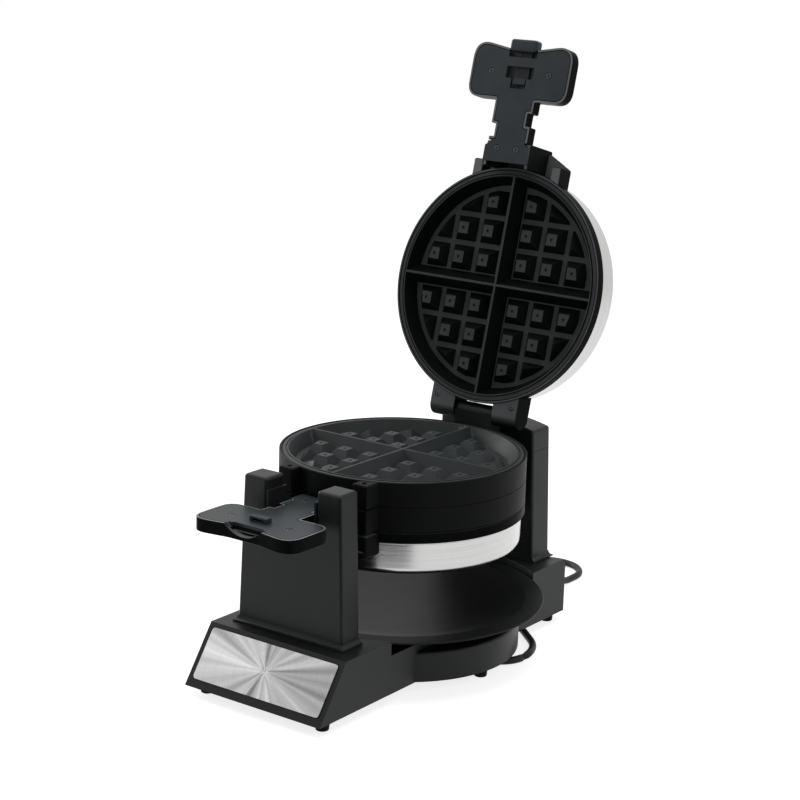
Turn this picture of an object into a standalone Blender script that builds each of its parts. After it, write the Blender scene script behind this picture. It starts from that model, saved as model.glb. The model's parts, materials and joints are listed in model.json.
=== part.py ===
"""Rotating double waffle maker: base with two columns, a turning middle housing, two hinged lids, a drip tray.

Metres, +Z up, the user stands at -Y, the floor is z = 0. Everything is laid out with both lids closed
round the turning axis (x = 0, along Y); the upper lid's parent then opens it.
"""
import math

import bmesh
import bpy
from mathutils import Matrix, Vector

# Clearances, smoothness and tolerances
gap = 0.0003
overrun = 0.0040
sink = 0.0006
weld_distance = 0.000005
flat_angle = math.radians(0.5)
sharp_angle = math.radians(35)
big_segments = 32
mid_segments = 16
small_segments = 12
screw_segments = 8
corner_steps = 3
open_angle = math.radians(104.8)

# Turning axis and middle housing
axis_height = 0.1607
rim_radius = 0.1060
housing_half = 0.0209
housing_wall = 0.0022
ledge_width = 0.0026
ledge_thick = 0.0022
rim_chamfer = 0.0008
block_outer_x = 0.0463
block_inner_x = 0.0310
block_front_y = -0.1110
block_back_y = -0.0860
block_drop = 0.0004
block_round = 0.0014
block_hole_radius = 0.0022
block_hole_depth = 0.0040
block_hole_y = -0.1046

# Waffle plates
cavity_radius = 0.0980
cavity_floor_radius = 0.0920
cavity_depth = 0.0120
lip_radius = 0.0993
flange_drop = 0.0005
flange_radius = 0.1035
flange_thick = 0.0022
body_radius = 0.1004
body_low_radius = 0.0970
plate_height = 0.0174
pyramid_base = 0.0230
pyramid_top = 0.0105
pyramid_height = 0.0075
pyramid_pitch = 0.0267
first_pyramid = 0.0205
pyramids_along = 3
grid_radius = 0.0885
grid_top_radius = 0.0845
divider_base = 0.0172
divider_crest = 0.0022
divider_drop = 0.0002

# Heating elements, thermostats, reflectors
heater_radius = 0.0031
heater_ring = 0.0620
heater_half_gap = math.radians(20)
heater_steps = 16
reflector_radius = 0.0880
reflector_hole = 0.0060
reflector_thick = 0.0008
thermostat_radius = 0.0090
thermostat_height = 0.0055

# Lid rings and steel shells
rim_gap = 0.0008
bezel_height = 0.0085
bezel_inner_radius = 0.1010
shell_rim_radius = 0.1038
shell_side_radius = 0.1027
shell_height = 0.0366
shell_corner = 0.0085
shell_thick = 0.0009

# Lid hinges and rear hinge block
hinge_y = 0.1131
hinge_rise = 0.0119
knuckle_radius = 0.0066
pin_radius = 0.0030
pin_hole_radius = 0.0033
pin_short = 0.0012
lug_half = 0.0197
lug_front_y = 0.0980
ear_inner_x = 0.0202
ear_outer_x = 0.0465
ear_radius = 0.0103
ear_front_y = 0.0900
ear_screw_x = 0.0398
ear_screw_y = 0.1046
wire_hole_radius = 0.0058

# Front brackets of the lids
bracket_top = 0.0195
bracket_round = 0.0012
web_thick = 0.0060
web_front_y = -0.1245
web_front_half = 0.0205
web_outer_half = 0.0464
corner_block_inner_x = 0.0360
corner_block_rise = 0.0006
riser_half = 0.0233
riser_front_y = -0.1260
riser_wall = 0.0030

# Handles
handle_thick = 0.0114
handle_wall = 0.0018
handle_roof = 0.0020
handle_round = 0.0026
cover_thick = 0.0026
lobe_half = 0.0518
lobe_front_y = -0.2160
lobe_back_y = -0.1630
lobe_front_round = 0.0150
lobe_back_round = 0.0130
scoop_half = 0.0150
scoop_y = -0.2088
scoop_round = 0.0060
neck_half = 0.0202
notch_half = 0.0153
notch_far_y = -0.1525
notch_mid_y = -0.1408
notch_near_y = -0.1295
left_notch_y = -0.1413
neck_round = 0.0
neck_end_y = -0.1263
flare_y = -0.1225
flare_half = 0.0254
cover_end_y = -0.1075
handle_screw_x = 0.0300
handle_screw_y = -0.1871
neck_screw_x = 0.0100
neck_screw_y = -0.1195
boss_radius = 0.0042
screw_head_radius = 0.0027
screw_head_height = 0.0012
pad_notch_half = 0.0146
pad_notch_y = -0.2012
pad_notch_height = 0.0086
slot_half = 0.0143
slot_front_y = -0.1929
slot_back_y = -0.1823
stem_slot_half = 0.0079
stem_slot_back_y = -0.1732

# Latch of the upper handle
pad_half = 0.0138
pad_front_y = -0.2170
pad_back_y = -0.2062
pad_proud = 0.0030
pad_height = 0.0078
pad_round = 0.0018
stem_half = 0.0060
stem_low = 0.0053
stem_thick = 0.0024
hook_half = 0.0065
hook_front_y = -0.1812
hook_back_y = -0.1777
hook_low = 0.0004
barb_reach = 0.0016
barb_thick = 0.0018

# Catch block and finger scoop of the lower handle
catch_half = 0.0090
catch_front_y = -0.1912
catch_back_y = -0.1842
catch_rise = 0.0045
catch_round = 0.0008
catch_window_half = 0.0060
catch_window_low = 0.0012
catch_window_high = 0.0030
scoop_block_half = 0.0200
scoop_pocket_half = 0.0155
scoop_pocket_depth = 0.0060
smile_radius = 0.0270
smile_depth = 0.0080

# Front column, posts and saddle liner
column_foot_half = 0.0548
column_top_half = 0.0500
column_front_y = -0.1500
column_back_y = -0.1270
post_top_z = 0.1824
yoke_half = 0.0260
column_round = 0.0026
column_wall = 0.0030
bead_height = 0.0052
bead_width = 0.0030
liner_leg = 0.0120
neck_clearance = 0.0005

# Rear column, bearing and shaft
rear_front_y = 0.1270
rear_back_y = 0.1548
cap_side_z = 0.1800
cap_mid_z = 0.1860
cap_steps = 10
shaft_radius = 0.0090
shaft_bore_radius = 0.0062
running_gap = 0.0004
bush_radius = 0.0140
bush_flange_radius = 0.0165
bush_flange_front_y = 0.1247
bush_end_y = 0.1460
collar_radius = 0.0134
collar_thick = 0.0035
shaft_end_y = 0.1510
bore_end_y = 0.1516

# Base housing and its bottom cover
base_half = 0.0707
base_bottom_z = 0.0082
front_bottom_y = -0.1970
front_top_y = -0.1650
front_block_z = 0.0545
rear_block_z = 0.0580
rear_block_y = 0.1594
deck_z = 0.0420
base_wall = 0.0026
base_round = 0.0028
rear_round = 0.0080
platform_radius = 0.1030
platform_y = 0.0040
platform_z = 0.0350
platform_round = 0.0030
pocket_gap = 0.0010
bottom_cover_thick = 0.0024

# Steel face plate on the sloping front
face_half = 0.0657
face_bottom = Vector((0, -0.1928, 0.0143))
face_top = Vector((0, -0.1673, 0.0511))
face_thick = 0.0010
face_recess = 0.0006
face_corner = 0.0035

# Feet
foot_radius = 0.0062
foot_taper = 0.0008
front_foot = (0.0604, -0.1805)
side_foot = (0.0915, -0.0050)
rear_foot = (0.0604, 0.1470)

# Drip tray
tray_radius = 0.1256
tray_rim_z = 0.0525
tray_rim_width = 0.0160
tray_slope_width = 0.0120
tray_step = 0.0032
tray_floor_drop = 0.0056
tray_dish_steps = 3
tray_thick = 0.0014
tray_edge = 0.0010

# Strain relief, cord, coil and plug
cord_diameter = 0.0065
cord_rest = 0.0035
cord_turn_step = math.radians(15)
gland_x = 0.0220
gland_z = 0.0220
gland_flange_radius = 0.0085
gland_flange = 0.0020
gland_root_radius = 0.0062
gland_tip_radius = 0.0046
gland_length = 0.0280
gland_groove = 0.0007
gland_grooves = 2
coil_x = -0.1380
coil_y = 0.0560
coil_diameters = 11
coil_turns = 2.25
coil_turn_gap = 0.0010
coil_points_per_turn = 24
tail_level = 0.0220
tail_fall = 0.0480
tail_points = 8
plug_half = 0.0125
plug_half_height = 0.0095
plug_length = 0.0340
plug_round = 0.0035
plug_neck_length = 0.0120
plug_neck_radius = 0.0056
blade_half = 0.0032
blade_thick = 0.0015
blade_length = 0.0160
blade_spread = 0.0063

# Sizes that follow from the ones above
rim_z = axis_height + housing_half
lid_rim_z = rim_z + rim_gap
hinge_z = rim_z + hinge_rise
seam_z = axis_height + gap / 2
housing_inner = rim_radius - housing_wall
handle_roof_z = axis_height + handle_thick
cover_back_z = seam_z + cover_thick + gap
lug_back_y = hinge_y + knuckle_radius
bezel_top_z = lid_rim_z + bezel_height
neck_corner = math.hypot(neck_half, handle_thick)
saddle_radius = neck_corner + neck_clearance
heater_z = lid_rim_z + plate_height + gap + heater_radius
reflector_z = heater_z + heater_radius + gap
coil_radius = cord_diameter * coil_diameters / 2
coil_pitch = cord_diameter + coil_turn_gap
gland_tip_y = rear_block_y + gap + gland_length

# The cord's route: corners and the radius of the bend at each
cord_corners = [
    ((gland_x, gland_tip_y + gap, gland_z), 0),
    ((gland_x, 0.2020, gland_z), 0.0300),
    ((gland_x, 0.2400, cord_rest), 0.0300),
    ((gland_x, 0.2880, cord_rest), 0.0300),
    ((-0.0400, 0.2880, cord_rest), 0.0300),
    ((-0.0400, 0.1160, cord_rest), 0.0320),
    ((0.0480, 0.1160, cord_rest), 0.0600),
    ((0.1010, 0.0700, cord_rest), 0.0520),
    ((0.1010, coil_y - coil_radius, cord_rest), 0.0265),
    ((coil_x + cord_diameter + gap, coil_y - coil_radius, cord_rest), 0),
]

# Materials: colour, roughness, metallic
finishes = {
    "black_plastic": ((0.020, 0.021, 0.022), 0.45, 0.0),
    "handle_plastic": ((0.040, 0.045, 0.050), 0.50, 0.0),
    "bezel_black": ((0.012, 0.012, 0.013), 0.35, 0.0),
    "nonstick": ((0.030, 0.031, 0.033), 0.48, 0.1),
    "tray_enamel": ((0.028, 0.030, 0.032), 0.42, 0.0),
    "brushed_steel": ((0.60, 0.60, 0.60), 0.32, 1.0),
    "bright_steel": ((0.55, 0.55, 0.56), 0.25, 1.0),
    "element_steel": ((0.25, 0.25, 0.26), 0.50, 0.8),
    "aluminium_sheet": ((0.62, 0.62, 0.63), 0.40, 1.0),
    "bearing_nylon": ((0.10, 0.10, 0.10), 0.50, 0.0),
    "rubber": ((0.014, 0.014, 0.014), 0.80, 0.0),
    "cord_black": ((0.012, 0.012, 0.012), 0.55, 0.0),
}

for stale in list(bpy.data.objects):
    bpy.data.objects.remove(stale, do_unlink=True)

part_collection = bpy.data.collections.new("double_waffle_maker")
tool_collection = bpy.data.collections.new("cutters")
for collection in (part_collection, tool_collection):
    bpy.context.scene.collection.children.link(collection)


def make_material(name, color, roughness, metallic):
    material = bpy.data.materials.new(name)
    material.use_nodes = True
    shader = material.node_tree.nodes["Principled BSDF"]
    shader.inputs["Base Color"].default_value = (*color, 1)
    shader.inputs["Roughness"].default_value = roughness
    shader.inputs["Metallic"].default_value = metallic
    material.diffuse_color = (*color, 1)
    return material


materials = {name: make_material(name, *values) for name, values in finishes.items()}


def tool_object(name, data):
    """A working object in the cutters' collection."""
    shape = bpy.data.objects.new(name, data)
    tool_collection.objects.link(shape)
    shape.hide_render = True
    shape.display_type = "WIRE"
    return shape


def from_bmesh(name, solid):
    mesh = bpy.data.meshes.new(name)
    solid.to_mesh(mesh)
    solid.free()
    return tool_object(name, mesh)


def evaluated_mesh(shape):
    bpy.context.view_layer.update()
    graph = bpy.context.evaluated_depsgraph_get()
    return bpy.data.meshes.new_from_object(shape.evaluated_get(graph), depsgraph=graph)


def to_mesh_object(shape, matrix=Matrix(), flat=False):
    """Turn a curve or a modified object into a welded mesh object with outward faces."""
    mesh = evaluated_mesh(shape)
    solid = bmesh.new()
    solid.from_mesh(mesh)
    bmesh.ops.remove_doubles(solid, verts=solid.verts, dist=weld_distance)
    if flat:
        bmesh.ops.dissolve_limit(solid, angle_limit=flat_angle, verts=solid.verts, edges=solid.edges)
    bmesh.ops.transform(solid, matrix=matrix, verts=solid.verts)
    bmesh.ops.recalc_face_normals(solid, faces=solid.faces)
    bpy.data.objects.remove(shape, do_unlink=True)
    return from_bmesh("solid", solid)


def moved(shape, matrix):
    """Move a shape's mesh and keep the object at the origin."""
    shape.data.transform(matrix)
    return shape


def box(x_range, y_range, z_range):
    """A box between three pairs of limits."""
    lows = [min(pair) for pair in (x_range, y_range, z_range)]
    highs = [max(pair) for pair in (x_range, y_range, z_range)]
    size = [high - low for low, high in zip(lows, highs)]
    middle = [(high + low) / 2 for low, high in zip(lows, highs)]
    solid = bmesh.new()
    bmesh.ops.create_cube(solid, size=1, matrix=Matrix.LocRotScale(Vector(middle), None, Vector(size)))
    return from_bmesh("box", solid)


def rod(radius, start, end, segments=small_segments, end_radius=None):
    """A round bar, or a cone, from one point to another."""
    start, end = Vector(start), Vector(end)
    direction = end - start
    turn = direction.to_track_quat("Z", "Y").to_matrix().to_4x4()
    solid = bmesh.new()
    bmesh.ops.create_cone(solid, cap_ends=True, segments=segments, radius1=radius,
                          radius2=radius if end_radius is None else end_radius, depth=direction.length,
                          matrix=Matrix.Translation((start + end) / 2) @ turn)
    return from_bmesh("rod", solid)


def turned(profile, segments=big_segments, matrix=Matrix()):
    """A solid of revolution about Z from a profile that runs down its outer side."""
    on_axis = profile[0][0] == 0 and profile[-1][0] == 0
    count = len(profile)
    mesh = bpy.data.meshes.new("profile")
    edges = [(i, (i + 1) % count) for i in range(count - 1 if on_axis else count)]
    mesh.from_pydata([(radius, 0, height) for radius, height in profile], edges, [])
    shape = tool_object("profile", mesh)
    screw = shape.modifiers.new("turn", "SCREW")
    screw.steps = screw.render_steps = segments
    screw.use_merge_vertices = True
    screw.merge_threshold = weld_distance
    return to_mesh_object(shape, matrix)


def along_y(place=(0, 0, 0)):
    """Placement that lays an upright turned shape along +Y."""
    return Matrix.Translation(place) @ Matrix.Rotation(-math.pi / 2, 4, "X")


def slab(outline, low, high, plane="XY"):
    """A flat outline given its thickness along the third axis."""
    curve = bpy.data.curves.new("outline", "CURVE")
    curve.dimensions = "2D"
    curve.fill_mode = "BOTH"
    curve.extrude = (high - low) / 2
    spline = curve.splines.new("POLY")
    spline.points.add(len(outline) - 1)
    for point, (a, b) in zip(spline.points, outline):
        point.co = (a, b, 0, 1)
    spline.use_cyclic_u = True
    middle = (low + high) / 2
    placements = {
        "XY": Matrix.Translation((0, 0, middle)),
        "YZ": Matrix(((0, 0, 1, middle), (1, 0, 0, 0), (0, 1, 0, 0), (0, 0, 0, 1))),
        "XZ": Matrix(((1, 0, 0, 0), (0, 0, -1, middle), (0, 1, 0, 0), (0, 0, 0, 1))),
    }
    return to_mesh_object(tool_object("outline", curve), placements[plane], flat=True)


def tube(points, radius, resolution):
    """A round tube with flat ends along a chain of points."""
    curve = bpy.data.curves.new("tube", "CURVE")
    curve.dimensions = "3D"
    curve.bevel_depth = radius
    curve.bevel_resolution = resolution
    curve.use_fill_caps = True
    spline = curve.splines.new("POLY")
    spline.points.add(len(points) - 1)
    for point, place in zip(spline.points, points):
        point.co = (*place, 1)
    return to_mesh_object(tool_object("tube", curve))


def boolean(target, operation, *others):
    """Join, cut or trim a shape with others."""
    for other in others:
        modifier = target.modifiers.new(operation.lower(), "BOOLEAN")
        modifier.operation = operation
        modifier.object = other
        modifier.solver = "EXACT"
    return target


def rounded(target, width, segments=2, angle=sharp_angle):
    """Round the sharp edges of a shape."""
    modifier = target.modifiers.new("round", "BEVEL")
    modifier.width = width
    modifier.segments = segments
    modifier.limit_method = "ANGLE"
    modifier.angle_limit = angle
    return target


def baked(target, smooth=True):
    """The finished mesh of a shape; its working objects are removed."""
    mesh = evaluated_mesh(target)
    used = [target]
    for shape in used:
        used.extend(m.object for m in shape.modifiers if m.type == "BOOLEAN" and m.object not in used)
    for shape in used:
        bpy.data.objects.remove(shape, do_unlink=True)
    solid = bmesh.new()
    solid.from_mesh(mesh)
    bmesh.ops.remove_doubles(solid, verts=solid.verts, dist=weld_distance)
    solid.to_mesh(mesh)
    solid.free()
    if smooth:
        mesh.shade_smooth()
        mesh.set_sharp_from_angle(angle=sharp_angle)
    return mesh


def frame(name, place, parent=None):
    """An empty that carries a moving assembly and stands on its joint's axis."""
    carrier = bpy.data.objects.new(name, None)
    part_collection.objects.link(carrier)
    carrier.parent = parent
    carrier["place"] = place
    carrier.location = Vector(place) - Vector(parent["place"] if parent else (0, 0, 0))
    return carrier


def turned_over():
    """Placement that turns the upper lid's pieces over about the turning axis, for the lower lid."""
    middle = Matrix.Translation((0, 0, axis_height))
    return middle @ Matrix.Rotation(math.pi, 4, "Y") @ middle.inverted()


def node(name, mesh, finish, parent, flipped=False):
    """Put a finished mesh under its parent."""
    mesh = mesh.copy()
    mesh.name = name
    if flipped:
        mesh.transform(turned_over())
    mesh.transform(Matrix.Translation(-Vector(parent["place"])))
    mesh.materials.clear()
    mesh.materials.append(materials[finish])
    piece = bpy.data.objects.new(name, mesh)
    part_collection.objects.link(piece)
    piece.parent = parent
    return piece


def arc(center, radius, start, end, steps):
    """Points on an arc in a plane, angles in radians."""
    angles = [start + (end - start) * i / steps for i in range(steps + 1)]
    return [(center[0] + radius * math.cos(a), center[1] + radius * math.sin(a)) for a in angles]


def softened(points, radii):
    """Round each corner of an outline by its own radius."""
    result = []
    for i, corner in enumerate(points):
        here, before, after = Vector(corner), Vector(points[i - 1]), Vector(points[(i + 1) % len(points)])
        if not radii[i]:
            result.append(tuple(here))
            continue
        into, out = before - here, after - here
        reach = min(radii[i] / math.tan(into.angle(out) / 2), into.length * 0.49, out.length * 0.49)
        first, last = here + into.normalized() * reach, here + out.normalized() * reach
        steps = corner_steps if radii[i] > bead_height else 2
        for step in range(steps + 1):
            t = step / steps
            result.append(tuple(first * (1 - t) ** 2 + here * 2 * t * (1 - t) + last * t ** 2))
    return result


def inset(points, distance):
    """An anticlockwise outline moved inwards by a distance."""
    result = []
    for i, corner in enumerate(points):
        before, here, after = Vector(points[i - 1]), Vector(corner), Vector(points[(i + 1) % len(points)])
        into, out = (here - before).normalized(), (after - here).normalized()
        normal = Vector((-into.y, into.x))
        bisector = (normal + Vector((-out.y, out.x))).normalized()
        result.append(tuple(here + bisector * distance / bisector.dot(normal)))
    return result


def rounded_inset(corners, distance):
    """An outline of corners with radii, moved inwards; outer corners get tighter and inner ones wider."""
    points = [corner for corner, radius in corners]
    radii = []
    for i, (corner, radius) in enumerate(corners):
        into = Vector(corner) - Vector(points[i - 1])
        out = Vector(points[(i + 1) % len(points)]) - Vector(corner)
        convex = into.cross(out) > 0
        radii.append(max(radius - distance, 0) if convex else radius + distance if radius else 0)
    return softened(inset(points, distance), radii)


def base_side(shrink):
    """The base seen from the side, drawn in."""
    side = [(front_bottom_y, base_bottom_z), (rear_block_y, base_bottom_z), (rear_block_y, rear_block_z),
            (0, rear_block_z), (0, front_block_z), (front_top_y, front_block_z)]
    return inset(side, shrink)


def base_form(shrink):
    """The outer form of the base housing, or its hollow: the same form drawn in by a wall and open below."""
    drawn, radii = base_side(shrink), [0, 0, rear_round, 0, 0, 0]
    floor = base_bottom_z
    if shrink:
        floor -= overrun
        drawn = drawn[:1] + [(drawn[0][0], floor), (drawn[1][0], floor)] + drawn[2:]
        radii = [0] + radii
    body = slab(softened(drawn, radii), -base_half + shrink, base_half - shrink, "YZ")
    if not shrink:
        rounded(body, base_round, 2, math.radians(50))
    pocket_radius = tray_radius + pocket_gap + shrink
    pocket = rod(pocket_radius, (0, 0, deck_z - shrink), (0, 0, rear_block_z + overrun), big_segments)
    boolean(body, "DIFFERENCE", pocket)
    top, radius = platform_z - shrink, platform_radius - shrink
    bend = [(radius - platform_round + across, top - platform_round + up)
            for across, up in arc((0, 0), platform_round, math.pi / 2, 0, 2)]
    profile = [(0, top)] + bend + [(radius, floor + gap), (0, floor + gap)]
    platform = turned(profile, matrix=Matrix.Translation((0, platform_y, 0)))
    return boolean(body, "UNION", platform)


def face_shape(margin, low, high):
    """The face plate's outline on the sloping front between two distances from the slope."""
    slope = face_top - face_bottom
    half_long, half_wide = slope.length / 2 + margin, face_half + margin
    corners = [(-half_wide, -half_long), (half_wide, -half_long), (half_wide, half_long), (-half_wide, half_long)]
    plate = slab(softened(corners, [face_corner] * 4), low, high)
    up = slope.normalized()
    outward = Vector((0, -up.z, up.y))
    turn = Matrix((up.cross(outward), up, outward)).transposed().to_4x4()
    return moved(plate, Matrix.Translation((face_top + face_bottom) / 2) @ turn)


def front_slope_offset():
    """Distance of the face plate's reference line from the housing's sloping face."""
    slope = Vector((0, front_top_y - front_bottom_y, front_block_z - base_bottom_z)).normalized()
    outward = Vector((0, -slope.z, slope.y))
    return (Vector((0, front_bottom_y, base_bottom_z)) - face_bottom).dot(outward)


def base_housing():
    """Moulded base: sloping front, deck, raised blocks and round platform, open below."""
    surface = front_slope_offset()
    recess = face_shape(gap, surface - face_recess, surface + overrun)
    return baked(boolean(base_form(0), "DIFFERENCE", base_form(base_wall), recess))


def face_plate():
    floor = front_slope_offset() - face_recess + gap
    return baked(face_shape(0, floor, floor + face_thick), smooth=False)


def bottom_cover():
    """Flat cover inside the housing's lower edge."""
    low, high = base_bottom_z, base_bottom_z + bottom_cover_thick
    shrink = base_wall + gap
    body = box((-base_half + shrink, base_half - shrink), (base_side(base_wall)[0][0] + gap, rear_block_y - shrink),
               (low, high))
    disc = rod(platform_radius - shrink, (0, platform_y, low + gap), (0, platform_y, high - gap), big_segments)
    return baked(boolean(body, "UNION", disc), smooth=False)


def foot(x, y):
    """Rubber foot under the base."""
    top = base_bottom_z - gap
    return baked(rod(foot_radius - foot_taper, (x, y, 0), (x, y, top), small_segments, foot_radius))


def foot_bead(front_y, back_y, low_z):
    """The rounded bead at a column's foot."""
    bead = box((-column_foot_half - bead_width, column_foot_half + bead_width), (front_y, back_y),
               (low_z, low_z + bead_height))
    return rounded(bead, bead_width * 0.8, 2)


def front_column():
    """Yoke: a tapered column with a round-bottomed notch between two square posts, hollow from below."""
    low = front_block_z + gap
    outline = [(-column_foot_half, low), (column_foot_half, low), (column_top_half, post_top_z),
               (-column_top_half, post_top_z)]
    column = rounded(slab(outline, column_front_y, column_back_y, "XZ"), column_round)
    bead = foot_bead(column_front_y - bead_width, column_back_y, low)
    ends = (column_front_y - overrun, column_back_y + overrun)
    seat = rod(yoke_half, (0, ends[0], axis_height), (0, ends[1], axis_height), mid_segments * 2)
    notch = box((-yoke_half, yoke_half), ends, (axis_height, post_top_z + overrun))
    roof = axis_height - yoke_half - column_wall * 2
    inner = column_foot_half - column_wall * 2
    hollow = box((-inner, inner), (column_front_y + column_wall, column_back_y - column_wall), (low - overrun, roof))
    boolean(column, "UNION", bead)
    return baked(boolean(column, "DIFFERENCE", seat, notch, hollow))


def yoke_liner():
    """Half-round saddle with two short legs that the closed necks turn in."""
    outer = yoke_half - gap
    top = axis_height + liner_leg
    outline = [(outer, top), (saddle_radius, top)]
    outline += arc((0, axis_height), saddle_radius, 0, -math.pi, mid_segments)
    outline += [(-saddle_radius, top), (-outer, top)]
    outline += arc((0, axis_height), outer, -math.pi, 0, mid_segments)
    return baked(slab(outline, column_front_y, column_back_y, "XZ"))


def rear_tower():
    """The whole rear column before it is split at the bearing's middle."""
    low = rear_block_z + gap
    rise = cap_mid_z - cap_side_z
    radius = (column_top_half ** 2 + rise ** 2) / (2 * rise)
    spread = math.asin(column_top_half / radius)
    outline = [(-column_foot_half, low), (column_foot_half, low)]
    outline += arc((0, cap_mid_z - radius), radius, math.pi / 2 - spread, math.pi / 2 + spread, cap_steps)
    tower = rounded(slab(outline, rear_front_y, rear_back_y, "XZ"), column_round)
    bore = rod(bush_radius + gap, (0, rear_front_y - overrun, axis_height), (0, bore_end_y, axis_height),
               mid_segments)
    return boolean(tower, "DIFFERENCE", bore)


def beyond_seam(side):
    """A block that takes away what is above (1) or below (-1) the rear column's seam."""
    far = post_top_z + overrun * 2 if side > 0 else 0
    return box((-rim_radius, rim_radius), (rear_front_y - overrun, rear_back_y + overrun),
               (axis_height - side * gap / 2, far))


def rear_column():
    low = rear_block_z + gap
    roof = axis_height - bush_flange_radius - column_wall * 2
    inner = column_foot_half - column_wall * 2
    hollow = box((-inner, inner), (rear_front_y + column_wall, rear_back_y - column_wall), (low - overrun, roof))
    bead = foot_bead(rear_front_y, rear_back_y + bead_width, low)
    return baked(boolean(boolean(rear_tower(), "UNION", bead), "DIFFERENCE", beyond_seam(1), hollow))


def rear_cap():
    return baked(boolean(rear_tower(), "DIFFERENCE", beyond_seam(-1)))


def rear_bush():
    """Flanged bearing that the shaft turns in."""
    inner = shaft_radius + running_gap
    flange_back = rear_front_y - gap
    profile = [(bush_flange_radius, flange_back), (bush_flange_radius, bush_flange_front_y),
               (inner, bush_flange_front_y), (inner, bush_end_y), (bush_radius, bush_end_y),
               (bush_radius, flange_back)]
    return baked(turned(profile, mid_segments, along_y((0, 0, axis_height))))


def rotor_shaft():
    """Hollow shaft behind the hinge block."""
    start = lug_back_y + gap
    profile = [(shaft_radius, shaft_end_y), (shaft_radius, start), (shaft_bore_radius, start),
               (shaft_bore_radius, shaft_end_y)]
    return baked(turned(profile, mid_segments, along_y((0, 0, axis_height))))


def shaft_collar():
    """Ring that keeps the shaft in its bearing."""
    start = bush_end_y + running_gap
    inner = shaft_radius + gap
    profile = [(collar_radius, start + collar_thick), (collar_radius, start), (inner, start),
               (inner, start + collar_thick)]
    return baked(turned(profile, mid_segments, along_y((0, 0, axis_height))))


def waffle_plate():
    """Cast plate with its rim at z = 0 and the waffle's cells below it."""
    foot = -cavity_depth - sink
    flange_low = -flange_drop - flange_thick
    dish = turned([(0, -cavity_depth), (cavity_floor_radius, -cavity_depth), (cavity_radius, 0), (lip_radius, 0),
                   (flange_radius, -flange_drop), (flange_radius, flange_low), (body_radius, flange_low),
                   (body_low_radius, -plate_height), (0, -plate_height)])
    ridge = [(-divider_base / 2, foot), (divider_base / 2, foot), (divider_crest / 2, -divider_drop),
             (-divider_crest / 2, -divider_drop)]
    dividers = slab(ridge, -rim_radius, rim_radius, "YZ")
    boolean(dividers, "UNION", slab(ridge, -rim_radius, rim_radius, "XZ"))
    boolean(dividers, "INTERSECT", rod(cavity_floor_radius + sink, (0, 0, foot - overrun), (0, 0, 0), big_segments,
                                       cavity_radius + sink))
    pyramids = pyramid_field(foot)
    boolean(pyramids, "INTERSECT", rod(grid_radius, (0, 0, foot - sink), (0, 0, foot + pyramid_height + sink * 2),
                                       big_segments, grid_top_radius))
    return baked(boolean(dish, "UNION", dividers, pyramids))


def pyramid_field(foot):
    """Truncated pyramids in the four quarters of a plate."""
    solid = bmesh.new()
    steps = [first_pyramid + pyramid_pitch * i for i in range(pyramids_along)]
    quarter = Matrix.Rotation(math.pi / 4, 4, "Z")
    height = pyramid_height + sink
    for x in [side * step for side in (-1, 1) for step in steps]:
        for y in [side * step for side in (-1, 1) for step in steps]:
            if math.hypot(x, y) > grid_radius + pyramid_top / 2:
                continue
            place = Matrix.Translation((x, y, foot + height / 2))
            bmesh.ops.create_cone(solid, cap_ends=True, segments=4, radius1=pyramid_base / math.sqrt(2),
                                  radius2=pyramid_top / math.sqrt(2), depth=height, matrix=place @ quarter)
    return from_bmesh("pyramids", solid)


def placed(mesh, height, turned_down=False):
    """A copy of the waffle plate's mesh with its rim at a height, cells below or above it."""
    mesh = mesh.copy()
    if turned_down:
        mesh.transform(Matrix.Rotation(math.pi, 4, "Y"))
    mesh.transform(Matrix.Translation((0, 0, height)))
    return mesh


def middle_housing():
    """Upper half of the middle housing: ring with a ledge for the plate and two front corner blocks."""
    ledge_top = rim_z - flange_drop - flange_thick - gap
    ledge_low = ledge_top - ledge_thick
    ledge_inner = housing_inner - ledge_width
    ring = turned([(rim_radius - rim_chamfer, rim_z), (rim_radius, rim_z - rim_chamfer), (rim_radius, seam_z),
                   (housing_inner, seam_z), (housing_inner, ledge_low), (ledge_inner, ledge_low),
                   (ledge_inner, ledge_top), (housing_inner, ledge_top), (housing_inner, rim_z)])
    inside = (housing_inner + rim_radius) / 2
    top = rim_z - block_drop
    middle_x = (block_outer_x + block_inner_x) / 2
    for side in (-1, 1):
        block = rounded(box((side * block_inner_x, side * block_outer_x), (block_front_y, block_back_y),
                            (seam_z, top)), block_round)
        boolean(block, "DIFFERENCE", rod(inside, (0, 0, seam_z - overrun), (0, 0, rim_z + overrun), big_segments))
        boolean(ring, "UNION", block)
    for side in (-1, 1):
        x = side * middle_x
        hole = rod(block_hole_radius, (x, block_hole_y, top - block_hole_depth), (x, block_hole_y, rim_z + overrun),
                   screw_segments)
        boolean(ring, "DIFFERENCE", hole)
    return baked(ring)


def heater(height):
    """Open ring of heating element."""
    points = arc((0, 0), heater_ring, math.pi / 2 + heater_half_gap, math.pi / 2 + math.tau - heater_half_gap,
                 heater_steps)
    return baked(tube([(x, y, height) for x, y in points], heater_radius, 1))


def hinge_block():
    """Rear lug on the middle housing that carries both lids' hinge pins and the shaft."""
    low = 2 * axis_height - hinge_z
    block = box((-lug_half, lug_half), (lug_front_y, lug_back_y), (low, hinge_z))
    knuckles = [rod(knuckle_radius, (-lug_half, hinge_y, z), (lug_half, hinge_y, z)) for z in (low, hinge_z)]
    holes = [rod(pin_hole_radius, (-rim_radius, hinge_y, z), (rim_radius, hinge_y, z)) for z in (low, hinge_z)]
    wires = rod(wire_hole_radius, (0, lug_front_y - overrun, axis_height), (0, lug_back_y + overrun, axis_height))
    ring_side = rod(rim_radius + gap, (0, 0, 0), (0, 0, hinge_z * 2), big_segments)
    return baked(boolean(boolean(block, "UNION", *knuckles), "DIFFERENCE", ring_side, wires, *holes))


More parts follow.
